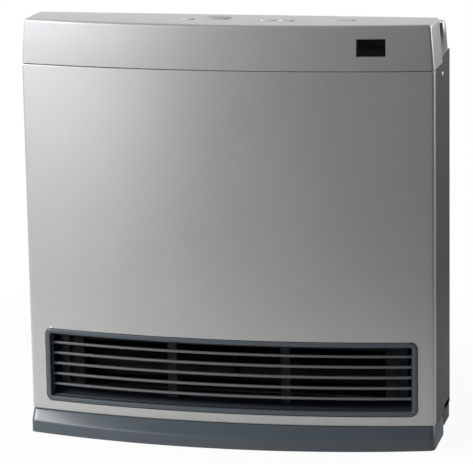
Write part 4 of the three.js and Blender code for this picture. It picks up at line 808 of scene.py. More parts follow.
    def mount(
        self,
        name: str,
        finish: Finish,
        nodes: Sequence[str],
        body: str = "cabinet",
        wall: float = 0.0,
        edge: float = 0.0,
        sharp: float = 32.0,
        even: bool = True,
    ) -> bpy.types.Object:
        """Takes the piece off the bench, dresses it and sets it on its body.

        Args:
            name: The piece's name.
            finish: What it is made of.
            nodes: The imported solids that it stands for.
            body: The body that it rides on.
            wall: Thickness of an open shell, or 0 for a solid piece.
            edge: Radius eased on to the sharp edges, or 0.
            sharp: Angle in degrees from which an edge is sharp.
            even: Whether the wall keeps its thickness round its corners.

        Returns:
            The object.
        """
        mesh = bpy.data.meshes.new(name)
        self.bm.to_mesh(mesh)
        self.bm.free()
        mesh.materials.append(finish.material)
        mesh.polygons.foreach_set("use_smooth", [True] * len(mesh.polygons))
        piece = bpy.data.objects.new(name, mesh)
        bpy.context.scene.collection.objects.link(piece)
        if wall:
            shell = piece.modifiers.new("wall", "SOLIDIFY")
            shell.thickness = wall
            shell.offset = -1.0
            shell.use_even_offset = even
        if edge:
            ease = piece.modifiers.new("eased_edge", "BEVEL")
            ease.width = edge
            ease.segments = EASE_STEPS
            ease.limit_method = "ANGLE"
            ease.angle_limit = math.radians(sharp)
            ease.use_clamp_overlap = False
            ease.harden_normals = True
        else:
            mesh.set_sharp_from_angle(angle=math.radians(sharp))
        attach(piece, body)
        finish.slot
        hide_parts(*nodes)
        BENCH.info("%s: %d faces, %s", name, len(mesh.polygons), finish.slot)
        return piece


def nodes_called(stem: str) -> list[str]:
    """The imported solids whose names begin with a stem, in order."""
    return sorted(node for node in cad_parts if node.startswith(stem))


def upright(point: PlanPoint, level: Level) -> Vector:
    """An outline point at a level of inset and height."""
    inset, height = level
    return Vector((point.x - point.out_x * inset, point.y - point.out_y * inset, height))


def rounding(radius: float, top: float, steps: int = ROUND_STEPS) -> list[Level]:
    """Levels that round a wall over into a flat top.

    Args:
        radius: The round's radius.
        top: Height of the flat above.
        steps: Chords in the quarter circle.

    Returns:
        Inset and height of each level, bottom first.
    """
    return [(radius * (1 - math.cos(t)), top - radius * (1 - math.sin(t))) for t in quarter_turns(steps)]


def draped(face: Bow, point: PlanPoint, level: Level) -> Vector:
    """A point of an outline in x and z, laid on a bowed face.

    Args:
        face: The bow.
        point: The outline point.
        level: Inset from the outline and depth behind the face.

    Returns:
        Its position.
    """
    inset, depth = level
    x, z = point.x - point.out_x * inset, point.y - point.out_y * inset
    return Vector((x, face.inset(depth).depth_at(x), z))


# ----------------------------------------------------------------------------------------
# Cabinet
# ----------------------------------------------------------------------------------------


@dataclass
class FrontPanel:
    """The bowed steel panel, folded from one sheet with returns and lips."""

    wall: float = 0.0012
    fold: float = 0.0016
    lip: float = 0.012
    corner_depth: float = 0.008
    corner_radius: float = 0.004
    step: float = 0.004
    opening_gap: float = 0.0003
    opening_margin: float = 0.0025
    eased: float = 0.00025

    def __post_init__(self) -> None:
        """Reads the panel's place from the frame."""
        self.low, self.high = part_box("front_panel")
        self.corner_y = self.high.y - self.corner_depth
        self.face = Bow.through(self.high.x, self.corner_y, self.low.y)

    def plan(self, stops: Sequence[float]) -> list[PlanPoint]:
        """Plan line from the left return round to the right return, with points at the stops."""
        half, back = self.high.x, self.high.y
        front = bowed_front(self.face, half, self.corner_radius, self.step, stops)
        return [PlanPoint(-half, back, -1.0, 0.0), *front, PlanPoint(half, back, 1.0, 0.0)]

    def build(self, louvre: "Louvre") -> None:
        """Folds the sheet and cuts the louvre's opening.

        Args:
            louvre: What stands in the opening.
        """
        piece = Workpiece()
        top, bottom = self.high.z, self.low.z
        upper = rounding(self.fold, top)
        lower = [(inset, bottom + top - height) for inset, height in reversed(upper)]
        opening = louvre.outline(self.opening_gap)
        below = louvre.bottom - self.opening_gap - self.opening_margin
        above = louvre.top + self.opening_gap + self.opening_margin
        levels = [(self.lip, bottom), *lower, (0.0, below), (0.0, above), *upper, (self.lip, top)]
        corner_limit = self.high.x - self.corner_radius - self.lip

        def folded(point: PlanPoint, level: Level) -> Vector:
            """A point of the folded sheet, with its lips notched at the corners."""
            inset, height = level
            if inset > self.fold and abs(point.x) > corner_limit:
                inset = self.fold
            return upright(point, (inset, height))

        side = louvre.half + self.opening_gap
        beside = side + self.opening_margin
        piece.stack(self.plan((-beside, -side, side, beside)), levels, folded, closed=False)
        piece.punch(opening, 1, (self.low.y - self.lip, self.corner_y))
        piece.clean()
        piece.mount(
            "front_panel_shell", Finish.SILVER_PAINT, ["front_panel"], wall=self.wall, edge=self.eased
        )


@dataclass
class ControlCover:
    """The silver top cover with its window and button holes."""

    wall: float = 0.0025
    edge_radius: float = 0.0036
    edge_steps: int = 7
    corner_radius: float = 0.004
    top_width: float = 0.452
    lip_height: float = 0.013
    back_margin: float = 0.002
    step: float = 0.004
    button_gap: float = 0.0003
    window_gap: float = 0.0003
    eased: float = 0.0003

    def __post_init__(self) -> None:
        """Reads the cover's place from the frame."""
        self.low, self.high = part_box("top_cover")
        self.panel = FrontPanel()
        self.half = self.panel.high.x

    def drafted(self, place: Vector) -> Vector:
        """Draws a point in toward the middle as it rises above the seam."""
        seam = self.panel.high.z
        rise = (place.z - seam) / (CAD_BOX[1].z - seam)
        narrowing = 1 - self.top_width / (2 * self.half)
        return Vector((place.x * (1 - narrowing * rise), place.y, place.z))

    def plan(self) -> list[PlanPoint]:
        """The cover's closed plan, front first."""
        back = self.high.y
        front = bowed_front(self.panel.face, self.half, self.corner_radius, self.step)
        return [*front, PlanPoint(self.half, back, 1.0, 1.0), PlanPoint(-self.half, back, -1.0, 1.0)]

    def build(self, controls: "Controls") -> None:
        """Moulds the shell, its round top edge, its holes and its window.

        Args:
            controls: The buttons and the display.
        """
        piece = Workpiece()
        top, seam = self.high.z, self.low.z
        levels = [(0.0, seam), *rounding(self.edge_radius, top, self.edge_steps)]
        rim = piece.stack(self.plan(), levels, lambda p, level: self.drafted(upright(p, level)))
        piece.close(rim)
        for outline in controls.button_outlines(self.button_gap):
            piece.punch(outline, 2, (top - NEAR, top + NEAR))
        piece.punch(controls.window_outline(self.window_gap), 1, (self.low.y, self.panel.corner_y))
        self.open_back(piece)
        piece.clean()
        piece.mount(
            "control_cover_shell", Finish.SILVER_MOULDING, ["top_cover"], wall=self.wall, edge=self.eased
        )

    def open_back(self, piece: Workpiece) -> None:
        """Removes the back wall under its lip, where the rear cover follows."""
        lip = self.high.z - self.lip_height
        inner = self.half - self.wall - self.back_margin
        back = self.high.y - NEAR
        piece.slice(2, lip, piece.faces_where(lambda c: c.y > back))
        for side in (-1, 1):
            piece.slice(0, side * inner, piece.faces_where(lambda c: c.y > back))
        piece.remove(piece.faces_where(lambda c: c.y > back and c.z < lip and abs(c.x) < inner))


@dataclass
class Plinth:
    """The slate base moulding, with a ridge below its sloping shoulder."""

    wall: float = 0.0025
    ridge_height: float = 0.014
    ridge_radius: float = 0.0015
    ridge_steps: int = 6
    shoulder_radius: float = 0.0012
    shoulder_steps: int = 4
    corner_radius: float = 0.007
    back_radius: float = 0.011
    side_inset: float = 0.0005
    skirt_flare: float = 0.001
    skirt_reach: float = 0.0065
    ledge_gap: float = 0.0003
    ledge_width: float = 0.0026
    ledge_drop: float = 0.00002
    merge: float = 0.000004
    step: float = 0.004
    eased: float = 0.0003

    def __post_init__(self) -> None:
        """Reads the plinth's place from the frame."""
        self.low, self.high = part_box("plinth")
        panel = FrontPanel()
        self.top_half = panel.high.x - self.side_inset
        self.half = self.high.x + self.skirt_flare
        self.ledge_front = panel.high.y
        self.ledge_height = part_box("side_panel_left")[0].z - self.ledge_gap
        self.lower = Bow.through(self.half, panel.corner_y - self.skirt_reach, self.low.y)
        self.upper = Bow.through(self.top_half, panel.corner_y, panel.low.y)

    def leaning(self, height: float) -> float:
        """How far the wall leans at a height, with a soft turn at the ridge.

        Args:
            height: Height above the floor.

        Returns:
            0 on the skirt's outline, 1 on the shoulder's.
        """
        above, turn = height - self.ridge_height, self.ridge_radius
        shoulder = self.high.z - self.ridge_height
        if abs(above) < turn:
            return (above + turn) ** 2 / (4 * turn) / shoulder
        return max(0.0, above / shoulder)

    def ridge_levels(self) -> list[Level]:
        """Levels that carry the wall over the ridge with a soft turn."""
        shares = [2 * n / self.ridge_steps - 1 for n in range(self.ridge_steps + 1)]
        return [(0.0, self.ridge_height + self.ridge_radius * share) for share in shares]

    def place(self, point: PlanPoint, level: Level) -> Vector:
        """A point of the plinth's skin.

        Args:
            point: A point of the skirt's outline.
            level: Inset and height.

        Returns:
            Its position.
        """
        inset, height = level
        lean = self.leaning(height)
        spot = upright(point, (inset, height))
        narrow = spot.x * self.top_half / self.half
        if point.y < self.ledge_front:
            spot.y += lean * (self.upper.depth_at(narrow) - self.lower.depth_at(spot.x))
        spot.x += lean * (narrow - spot.x)
        return spot

    def build(self) -> None:
        """Moulds the skin and lets its sides down under the side panels."""
        piece = Workpiece()
        half, back, radius = self.half, self.high.y, self.back_radius
        plan = bowed_front(self.lower, half, self.corner_radius, self.step)
        plan += arc_points(half - radius, back - radius, radius, 0.0, QUARTER, CORNER_STEPS)
        plan += arc_points(-half + radius, back - radius, radius, QUARTER, math.pi, CORNER_STEPS)
        shoulder = rounding(self.shoulder_radius, self.high.z, self.shoulder_steps)
        levels = [(0.0, self.low.z), *self.ridge_levels(), *shoulder]
        piece.close(piece.stack(plan, levels, self.place))
        self.lower_ledges(piece)
        piece.clean(self.merge)
        piece.mount(
            "plinth_skin", Finish.SLATE_MOULDING, ["plinth"], wall=self.wall, edge=self.eased, even=False
        )

    def lower_ledges(self, piece: Workpiece) -> None:
        """Lets the two sides down to the ledges that the side panels stand on."""
        edge, front, drop = self.top_half - self.ledge_width, self.ledge_front, self.ledge_drop
        for side in (-1, 1):
            for x in (edge, edge + drop):
                piece.slice(0, side * x)
        for y in (front, front + drop):
            piece.slice(1, y)
        for vert in piece.bm.verts:
            if abs(vert.co.x) > edge + drop / 2 and vert.co.y > front + drop / 2:
                vert.co.z = min(vert.co.z, self.ledge_height)


@dataclass
class SidePanels:
    """Charcoal steel sides with a folded front flange and a slanting top edge."""

    wall: float = 0.0012
    bend: float = 0.0024
    bend_steps: int = 6
    flange: float = 0.010
    notch_gap: float = 0.0003
    notch_radius: float = 0.003
    notch_steps: int = 5
    notch_clearance: float = 0.004
    notch_zone: float = 0.2
    facing: float = 0.5
    seam_rise: float = 0.008
    trim: float = 0.002
    eased: float = 0.00025

    def __post_init__(self) -> None:
        """Reads from the frame where the seam starts and how high the rear lower cover stands."""
        self.seam = FrontPanel().high
        self.notch_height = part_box("rear_lower_cover")[1].z + self.notch_gap

    def build(self, plinth: Plinth) -> None:
        """Folds both sides.

        Args:
            plinth: What the sides stand on.
        """
        for name, side in SIDES:
            self.fold(f"side_panel_{name}", side, plinth)

    def fold(self, node: str, side: int, plinth: Plinth) -> None:
        """Folds one side from its plan line.

        Args:
            node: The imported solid.
            side: -1 for left, 1 for right.
            plinth: What the side stands on.
        """
        low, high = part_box(node)
        outer = max(abs(low.x), abs(high.x))
        piece = Workpiece()
        centre_x, centre_y = outer - self.bend, low.y + self.bend
        turns = [(math.sin(t), math.cos(t)) for t in quarter_turns(self.bend_steps)]
        plan = [PlanPoint(outer - self.flange, low.y, 0.0, -1.0)]
        plan += [PlanPoint(centre_x + self.bend * s, centre_y - self.bend * c, s, -c) for s, c in turns]
        plan.append(PlanPoint(outer, high.y, 1.0, 0.0))
        plan = [PlanPoint(side * p.x, p.y, side * p.out_x, p.out_y) for p in plan]
        top = self.seam.z + self.seam_rise + self.trim
        piece.stack(plan, [(0.0, low.z), (0.0, top)], upright, closed=False)
        self.slant(piece, high.y)
        self.notch(piece, plinth.high.y + self.notch_clearance, high.y)
        piece.clean()
        piece.mount(f"{node}_sheet", Finish.CHARCOAL_MOULDING, [node], wall=self.wall, edge=self.eased)

    def slant(self, piece: Workpiece, back: float) -> None:
        """Trims the top edge to the slope of the seam.

        Args:
            piece: The side on the bench.
            back: Y of the side's rear edge.
        """
        slope = self.seam_rise / (back - self.seam.y)
        start = Vector((0.0, self.seam.y, self.seam.z))
        geom = [*piece.bm.verts, *piece.bm.edges, *piece.bm.faces]
        bmesh.ops.bisect_plane(
            piece.bm, geom=geom, plane_co=start, plane_no=Vector((0.0, -slope, 1.0)), clear_outer=True
        )

    def notch(self, piece: Workpiece, front: float, back: float) -> None:
        """Cuts the foot of a side away behind the plinth, with a round inner corner.

        Args:
            piece: The side on the bench.
            front: Y of the notch's front.
            back: Y of the side's rear edge.
        """
        radius, top = self.notch_radius, self.notch_height

        def in_notch(middle: Vector) -> bool:
            """Whether a face's middle lies behind the rim."""
            corner = math.hypot(min(0.0, middle.y - front - radius), max(0.0, middle.z - top + radius))
            return middle.y > front and middle.z < top and corner < radius

        turns = quarter_turns(self.notch_steps)
        rim = [(front + radius - radius * math.sin(t), top - radius + radius * math.cos(t)) for t in turns]
        for (y0, z0), (y1, z1) in zip([(back, top), *rim], [*rim, (front, 0.0)]):
            foot = piece.faces_where(lambda c: c.z < self.notch_zone)
            faces = [face for face in foot if abs(face.normal.x) > self.facing]
            piece.bisect(faces, Vector((0.0, y0, z0)), Vector((0.0, z1 - z0, y0 - y1)))
        piece.remove(piece.faces_where(in_notch))


@dataclass
class SideScrews:
    """The screw in each side: a turned shank and a domed head with a cross recess."""

    head_height: float = 0.0012
    shank_radius: float = 0.0018
    tip_length: float = 0.0015
    tip_share: float = 0.5
    dome_turns: tuple[float, ...] = (0.35, 0.7, 1.05, 1.3)
    dome_power: float = 0.7
    steps: int = 32
    merge: float = 0.000005
    arm: float = 0.0022
    blade: float = 0.00045
    sink: float = 0.0009
    head_start: float = 0.0002

    def build(self) -> None:
        """Turns both screws."""
        for name, side in SIDES:
            self.turn(f"side_screw_{name}", side)

    def profile(self, tip: float, head: float, radius: float) -> list[tuple[float, float]]:
        """The screw's outline from its tip to the top of its head.

        Args:
            tip: X of the tip.
            head: X of the head's top.
            radius: Radius of the head.

        Returns:
            X and radius of each point.
        """
        seat, shank = head - self.head_height, self.shank_radius
        stem = [(tip, 0.0), (tip, shank * self.tip_share), (tip + self.tip_length, shank), (seat, shank)]
        dome = [
            (seat + self.head_height * math.sin(t), radius * math.cos(t) ** self.dome_power)
            for t in self.dome_turns
        ]
        return [*stem, (seat, radius), *dome, (head, 0.0)]

    def turn(self, node: str, side: int) -> None:
        """Turns one screw and sets it in its side.

        Args:
            node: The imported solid.
            side: -1 for left, 1 for right.
        """
        low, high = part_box(node)
        tip, head = (low.x, high.x) if side > 0 else (-high.x, -low.x)
        piece = Workpiece()
        bm = piece.bm
        verts = [bm.verts.new((x, 0.0, r)) for x, r in self.profile(tip, head, (high.z - low.z) / 2)]
        edges = [bm.edges.new(pair) for pair in zip(verts, verts[1:])]
        about = {"cent": (0, 0, 0), "axis": (1, 0, 0), "angle": 2 * math.pi, "steps": self.steps}
        bmesh.ops.spin(bm, geom=verts + edges, use_merge=True, **about)
        bmesh.ops.remove_doubles(bm, verts=bm.verts, dist=self.merge)
        self.sink_cross(piece, head - self.head_height + self.head_start)
        centre = Matrix.Translation((0.0, (low.y + high.y) / 2, (low.z + high.z) / 2))
        bmesh.ops.transform(bm, matrix=centre, verts=bm.verts)
        if side < 0:
            bmesh.ops.scale(bm, vec=(-1.0, 1.0, 1.0), verts=bm.verts)
        bmesh.ops.recalc_face_normals(bm, faces=bm.faces)
        piece.mount(f"{node}_turned", Finish.ZINC_STEEL, [node])

    def sink_cross(self, piece: Workpiece, start: float) -> None:
        """Sinks a cross recess into a screw head.

        Args:
            piece: The screw, its axis along X.
            start: X from which a face belongs to the head's top.
        """
        arm, blade = self.arm, self.blade
        for reaches in ((arm, blade), (blade, arm)):
            for axis, reach in zip((1, 2), reaches):
                for sign in (-1, 1):
                    piece.slice(axis, reach * sign, piece.faces_where(lambda c: c.x > start))

        def in_cross(middle: Vector) -> bool:
            """Whether a face's middle lies in either arm."""
            y, z = abs(middle.y), abs(middle.z)
            return middle.x > start and ((y < arm and z < blade) or (y < blade and z < arm))

        inside = piece.faces_where(in_cross)
        sunk = bmesh.ops.extrude_face_region(piece.bm, geom=inside)["geom"]
        verts = [g for g in sunk if isinstance(g, bmesh.types.BMVert)]
        bmesh.ops.translate(piece.bm, verts=verts, vec=(-self.sink, 0.0, 0.0))
        piece.remove(inside)


# ----------------------------------------------------------------------------------------
# Louvre
# ----------------------------------------------------------------------------------------


@dataclass
class Louvre:
    """The slate outlet: a bezel running back as a tunnel, blades and stays."""

    bezel_width: float = 0.0055
    bezel_edge: float = 0.0016
    inner_edge: float = 0.0012
    proud: float = 0.0005
    bezel_depth: float = 0.005
    corner_radius: float = 0.008
    back_wall: float = 0.002
    shell_wall: float = 0.0018
    throat: float = 0.0035
    outlet_inset: float = 0.0021
    outlet_rise: float = 0.009
    outlet_height: float = 0.062
    outlet_radius: float = 0.001
    scoop_start: float = 0.0015
    scoop_sink: float = 0.001
    scoop_steps: int = 4
    blade_edge: float = 0.0011
    blade_thickness: float = 0.003
    blade_depth: float = 0.011
    blade_tilt: float = 0.2
    blade_sharp: float = 50.0
    eased: float = 0.0003
    bezel_eased: float = 0.0002
    step: float = 0.005

    def __post_init__(self) -> None:
        """Reads the louvre's place from the frame."""
        low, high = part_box("louvre_frame")
        self.face = FrontPanel().face
        self.half, self.bottom, self.top = high.x, low.z, high.z
        self.back = high.y - self.back_wall
        self.outlet_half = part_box("fan_scroll")[1].x - self.outlet_inset
        self.outlet_low = self.bottom + self.bezel_width + self.outlet_rise

    def outline(self, grow: float) -> list[PlanPoint]:
        """The bezel's outline in x and z, grown by a gap."""
        half, low, high = self.half + grow, self.bottom - grow, self.top + grow
        return rounded_rectangle(-half, low, half, high, self.corner_radius, self.step)

    def build(self) -> None:
        """Moulds the bezel, the passage behind it, the blades and the stays."""
        self.build_bezel()
        self.build_tunnel()
        for node in nodes_called("louvre_blade_"):
            self.build_blade(node)
        for node in nodes_called("louvre_stay_"):
            piece = Workpiece.from_node(node)
            # The stays take the darker slate, painted shade behind the blades
            piece.mount(f"{node}_upright", Finish.SLATE_SHADOW, [node], edge=self.eased)

    def build_bezel(self) -> None:
        """Moulds the bezel, rounded at both edges and turned back into the throat."""
        inner, edge, front = self.bezel_width, self.inner_edge, -self.proud
        outer_turn = [
            (inset, front + self.bezel_edge - height)
            for inset, height in rounding(self.bezel_edge, self.bezel_edge)
        ]
        inner_turn = [
            (inner - edge * (1 - math.sin(t)), front + edge * (1 - math.cos(t)))
            for t in quarter_turns(ROUND_STEPS)
        ]
        levels = [(0.0, self.bezel_depth - self.proud), *outer_turn, *inner_turn, (inner, self.throat)]
        piece = Workpiece()
        piece.stack(self.outline(0.0), levels, lambda point, level: draped(self.face, point, level))
        piece.clean()
        wall, edge = self.shell_wall, self.bezel_eased
        piece.mount("louvre_frame_moulding", Finish.SLATE_MOULDING, ["louvre_frame"], wall=wall, edge=edge)

    def build_tunnel(self) -> None:
        """Moulds the passage behind the bezel, in slate darkened as painted shade: its walls, its outlet
        plate and the scoop.
        """

        def place(point: PlanPoint, level: Level) -> Vector:
            """A point of the passage; the last level is the flat outlet plate."""
            spot = draped(self.face, point, (self.bezel_width, self.throat))
            spot.y += (self.back - spot.y) * level[0]
            return spot

        half, low = self.outlet_half, self.outlet_low
        high = low + self.outlet_height
        outlet = rounded_rectangle(-half, low, half, high, self.outlet_radius, 2 * half)
        piece = Workpiece()
        piece.close(piece.stack(self.outline(0.0), [(0.0, 0.0), (1.0, 0.0)], place))
        piece.punch(outlet, 1, (self.back - NEAR, self.back + NEAR))
        self.add_scoop(piece)
        piece.clean()
        # The passage takes the darker slate, painted shade inside the outlet
        piece.mount("louvre_tunnel_moulding", Finish.SLATE_SHADOW, [], wall=self.shell_wall)

    def add_scoop(self, piece: Workpiece) -> None:
        """Adds the slope from the lower lip up to the outlet.

        Args:
            piece: The passage on the bench.
        """
        half = self.half - self.bezel_width
        floor = self.bottom + self.bezel_width
        foot = floor - self.scoop_sink
        count = math.ceil(2 * half / self.step)
        lip = [PlanPoint(-half + 2 * half * n / count, floor, 0.0, 0.0) for n in range(count + 1)]

        def place(point: PlanPoint, level: Level) -> Vector:
            """A point of the slope, by the share of the way back."""
            share = level[0]
            front = self.face.inset(self.scoop_start).depth_at(point.x)
            height = foot + (self.outlet_low - foot) * share
            return Vector((point.x, front + (self.back - front) * share, height))

        shares = [(n / self.scoop_steps, 0.0) for n in range(self.scoop_steps + 1)]
        piece.stack(lip, shares, place, closed=False)

    def build_blade(self, node: str) -> None:
        """Sweeps one blade across the louvre.

        Args:
            node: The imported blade.
        """
        low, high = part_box(node)
        front = low.y - self.face.apex
        deep, half_thick = self.blade_depth, self.blade_thickness / 2
        section = rounded_rectangle(front, -half_thick, front + deep, half_thick, self.blade_edge, deep)
        count = math.ceil((high.x - low.x) / self.step)
        middle = (low.z + high.z) / 2
        stops = [(low.x + (high.x - low.x) * n / count, middle) for n in range(count + 1)]

        def place(point: PlanPoint, level: Level) -> Vector:
            """A section point at a stop along the blade."""
            x, height = level
            lift = (front + deep / 2 - point.x) * math.tan(self.blade_tilt)
            return Vector((x, self.face.inset(point.x).depth_at(x), height + point.y + lift))

        piece = Workpiece()
        piece.close(piece.stack(section, stops, place))
        piece.close_rest()
        piece.clean()
        # The blades take the lighter slate, painted light on their front edges
        piece.mount(f"{node}_vane", Finish.SLATE_BLADE, [node], edge=self.eased, sharp=self.blade_sharp)


# ----------------------------------------------------------------------------------------
# Controls
# ----------------------------------------------------------------------------------------


@dataclass
class Controls:
    """Display lens and the push buttons in the cover's top."""

    buttons: tuple[str, ...] = ("power", "cooler", "warmer", "timer", "lock")
    cap_edge: float = 0.0007
    cap_edge_steps: int = 4
    cap_end_steps: int = 12
    hole_end_steps: int = 8
    cap_dish: float = 0.00025
    dish_shares: tuple[tuple[float, float], ...] = ((0.3, 0.25), (0.5, 0.7), (0.8, 1.0))
    cap_skirt: float = 0.0036
    cap_sharp: float = 50.0
    flange: float = 0.0015
    flange_height: float = 0.0012
    lens_corner: float = 0.0012
    lens_step: float = 0.003
    lens_back: float = 0.0025
    lens_front: float = 0.0005
    lens_edge: float = 0.0004
    lens_edge_share: float = 0.3
    lens_cuts: int = 10
    lens_sharp: float = 40.0

    def cap_size(self, node: str) -> tuple[float, float, float, float]:
        """Centre and size of a cap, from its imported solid.

        Args:
            node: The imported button.

        Returns:
            Centre x, centre y, width and depth.
        """
        low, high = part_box(node)
        centre = (low + high) / 2
        return centre.x, centre.y, high.x - low.x - 2 * self.flange, high.y - low.y - 2 * self.flange

    def stadium(self, node: str, grow: float, steps: int) -> list[PlanPoint]:
        """A cap's outline, a slot with round ends.

        Args:
            node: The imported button.
            grow: Distance outside the cap.
            steps: Chords in each round end.

        Returns:
            The outline, anticlockwise.
        """
        x, y, width, depth = self.cap_size(node)
        radius = depth / 2 + grow
        reach = (width - depth) / 2
        right = arc_points(x + reach, y, radius, -QUARTER, QUARTER, steps)
        left = arc_points(x - reach, y, radius, QUARTER, 3 * QUARTER, steps)
        return right + left

    def button_outlines(self, gap: float) -> list[list[PlanPoint]]:
        """The holes that the caps stand in."""
        return [self.stadium(f"button_{name}", gap, self.hole_end_steps) for name in self.buttons]

    def window_outline(self, gap: float) -> list[PlanPoint]:
        """The window in x and z, grown by a gap."""
        low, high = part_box("display_window")
        return rounded_rectangle(
            low.x - gap, low.z - gap, high.x + gap, high.z + gap, self.lens_corner, self.lens_step
        )

    def build(self, face: Bow) -> None:
        """Makes the caps and the lens.

        Args:
            face: The bowed front that the lens follows.
        """
        for name in self.buttons:
            self.build_cap(f"button_{name}", f"{name}_button")
        self.build_lens(face)

    def build_cap(self, node: str, body: str) -> None:
        """Moulds one cap with its flange and a dished top.

        Args:
            node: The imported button.
            body: The body that it rides on.
        """
        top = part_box(node)[1].z
        foot = top - self.cap_skirt
        depth = self.cap_size(node)[3]
        levels = [(-self.flange, foot - self.flange_height), (-self.flange, foot), (0.0, foot)]
        levels += rounding(self.cap_edge, top, self.cap_edge_steps)
        levels += [(depth * share / 2, top - self.cap_dish * sink) for share, sink in self.dish_shares]
        piece = Workpiece()
        piece.close(piece.stack(self.stadium(node, 0.0, self.cap_end_steps), levels, upright))
        piece.close_rest()
        piece.clean()
        finish = Finish.DARK_BUTTON if node == "button_power" else Finish.LIGHT_BUTTON
        piece.mount(f"{node}_cap", finish, [node], body, sharp=self.cap_sharp)

    def build_lens(self, face: Bow) -> None:
        """Moulds the smoked lens to the cover's bow.

        Args:
            face: The bowed front.
        """
        low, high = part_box("display_window")
        front, edge, share = self.lens_front, self.lens_edge, self.lens_edge_share
        turn = (edge * share, front + edge * share)
        levels = [(0.0, self.lens_back), (0.0, front + edge), turn, (edge, front)]
        piece = Workpiece()
        piece.close(piece.stack(self.window_outline(0.0), levels, lambda p, level: draped(face, p, level)))
        piece.close_rest()
        for n in range(1, self.lens_cuts + 1):
            piece.slice(0, low.x + (high.x - low.x) * n / (self.lens_cuts + 1))
        piece.clean()
        piece.mount("display_lens", Finish.BLACK_LENS, ["display_window"], sharp=self.lens_sharp)


# ----------------------------------------------------------------------------------------
# Rear and inside
# ----------------------------------------------------------------------------------------


@dataclass
class Filters:
    """The fine woven nets of the two slide-out air filters, whose frames keep their solids."""

    tab_height: float = 0.0114
    border: float = 0.006
    overlap: float = 0.001
    pitch: float = 0.0024
    strand: float = 0.0005

    def build(self) -> None:
        """Weaves a net across each frame."""
        for name, _ in SIDES:
            self.weave(f"filter_{name}", f"{name}_filter")

    def weave(self, node: str, body: str) -> None:
        """Lays strands both ways across the frame.

        Args:
            node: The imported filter.
            body: The body that it rides on.
        """
        low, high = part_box(node)
        x0, x1 = low.x + self.border, high.x - self.border
        z0, z1 = low.z + self.border, high.z - self.tab_height - self.border
        middle = (low.y + high.y) / 2
        front, back = middle - self.strand / 2, middle + self.strand / 2
        piece = Workpiece()
        for n in range(1, math.floor((x1 - x0) / self.pitch)):
            self.lay(piece, Vector((x0 + n * self.pitch, front, (z0 + z1) / 2)), z1 - z0, 2)
        for n in range(1, math.floor((z1 - z0) / self.pitch)):
            self.lay(piece, Vector(((x0 + x1) / 2, back, z0 + n * self.pitch)), x1 - x0, 0)
        piece.mount(f"{node}_net", Finish.FILTER_MESH, [], body)

    def lay(self, piece: Workpiece, centre: Vector, length: float, axis: int) -> None:
        """Adds one strand.

        Args:
            piece: The net on the bench.
            centre: The strand's middle.
            length: Its length.
            axis: 0 to run along X, 2 along Z.
        """
        size = [self.strand, self.strand, self.strand]
        size[axis] = length + self.overlap
        matrix = Matrix.LocRotScale(centre, None, Vector(size))
        bmesh.ops.create_cube(piece.bm, size=1.0, matrix=matrix)


EASED_EDGE = 0.0004
EASED_FINISHES: dict[str, Finish] = {
    "rear_top_cover": Finish.SILVER_MOULDING,
    "rear_lower_cover": Finish.CHARCOAL_MOULDING,
    "foot_front_left": Finish.RUBBER,
    "foot_front_right": Finish.RUBBER,
    "foot_rear_left": Finish.RUBBER,
    "foot_rear_right": Finish.RUBBER,
}

KEPT_FINISHES: dict[str, Finish] = {
    "rear_casing": Finish.CHARCOAL_MOULDING,
    "filter_left": Finish.FILTER_MESH,
    "filter_right": Finish.FILTER_MESH,
    "display_board": Finish.CIRCUIT_BOARD,
    "switch_board": Finish.CIRCUIT_BOARD,
    "control_board": Finish.CIRCUIT_BOARD,
    "fan_impeller": Finish.FAN_PLASTIC,
    "fan_stub_left": Finish.BRIGHT_STEEL,
    "fan_stub_right": Finish.BRIGHT_STEEL,
    "fan_motor": Finish.ZINC_STEEL,
    "fan_bearing": Finish.RUBBER,
    "chassis_floor": Finish.ZINC_STEEL,
    "partition_left": Finish.ZINC_STEEL,
    "partition_right": Finish.ZINC_STEEL,
    "top_rail": Finish.ZINC_STEEL,
    # The scroll and tongue take the near-black heat steel, partly painted shade inside the outlet
    "fan_scroll": Finish.HEAT_STEEL,
    "fan_tongue": Finish.HEAT_STEEL,
    "combustion_chamber": Finish.HEAT_STEEL,
    "burner": Finish.HEAT_STEEL,
    "gas_valve": Finish.CAST_ALLOY,
    "gas_injector": Finish.BRASS,
    "gas_pipe": Finish.BRIGHT_STEEL,
    "gas_inlet": Finish.BRASS,
    "ignition_electrode": Finish.CERAMIC,
    "flame_sensor": Finish.CERAMIC,
    "cord_gland": Finish.RUBBER,
    "transformer": Finish.ZINC_STEEL,
    "igniter_module": Finish.CHARCOAL_MOULDING,
}


class CarriedOver:
    """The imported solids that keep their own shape."""

    def build(self) -> None:
        """Eases some of the outer ones and gives the others their finish."""
        for node, finish in EASED_FINISHES.items():
            piece = Workpiece.from_node(node)
            piece.mount(f"{node}_eased", finish, [node], edge=EASED_EDGE)
        for node, finish in KEPT_FINISHES.items():
            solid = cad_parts[node]
            solid.data.materials.clear()
            solid.data.materials.append(finish.material)
            finish.slot


# ----------------------------------------------------------------------------------------
# Studio
# ----------------------------------------------------------------------------------------


@dataclass(frozen=True)
class Lamp:
    """One soft box."""

    name: str
    place: Triple
    width: float
    height: float
    power: float
    target: Triple = (0.0, 0.0, 0.25)

    def build(self) -> None:
        """Hangs the lamp and aims it."""
        light = bpy.data.lights.new(self.name, "AREA")
        light.shape = "RECTANGLE"
        light.size, light.size_y = self.width, self.height
        light.energy = self.power
        holder = bpy.data.objects.new(self.name, light)
        aim = Vector(self.target) - Vector(self.place)
        holder.matrix_world = Matrix.LocRotScale(Vector(self.place), aim.to_track_quat("-Z", "Y"), None)
        bpy.context.scene.collection.objects.link(holder)


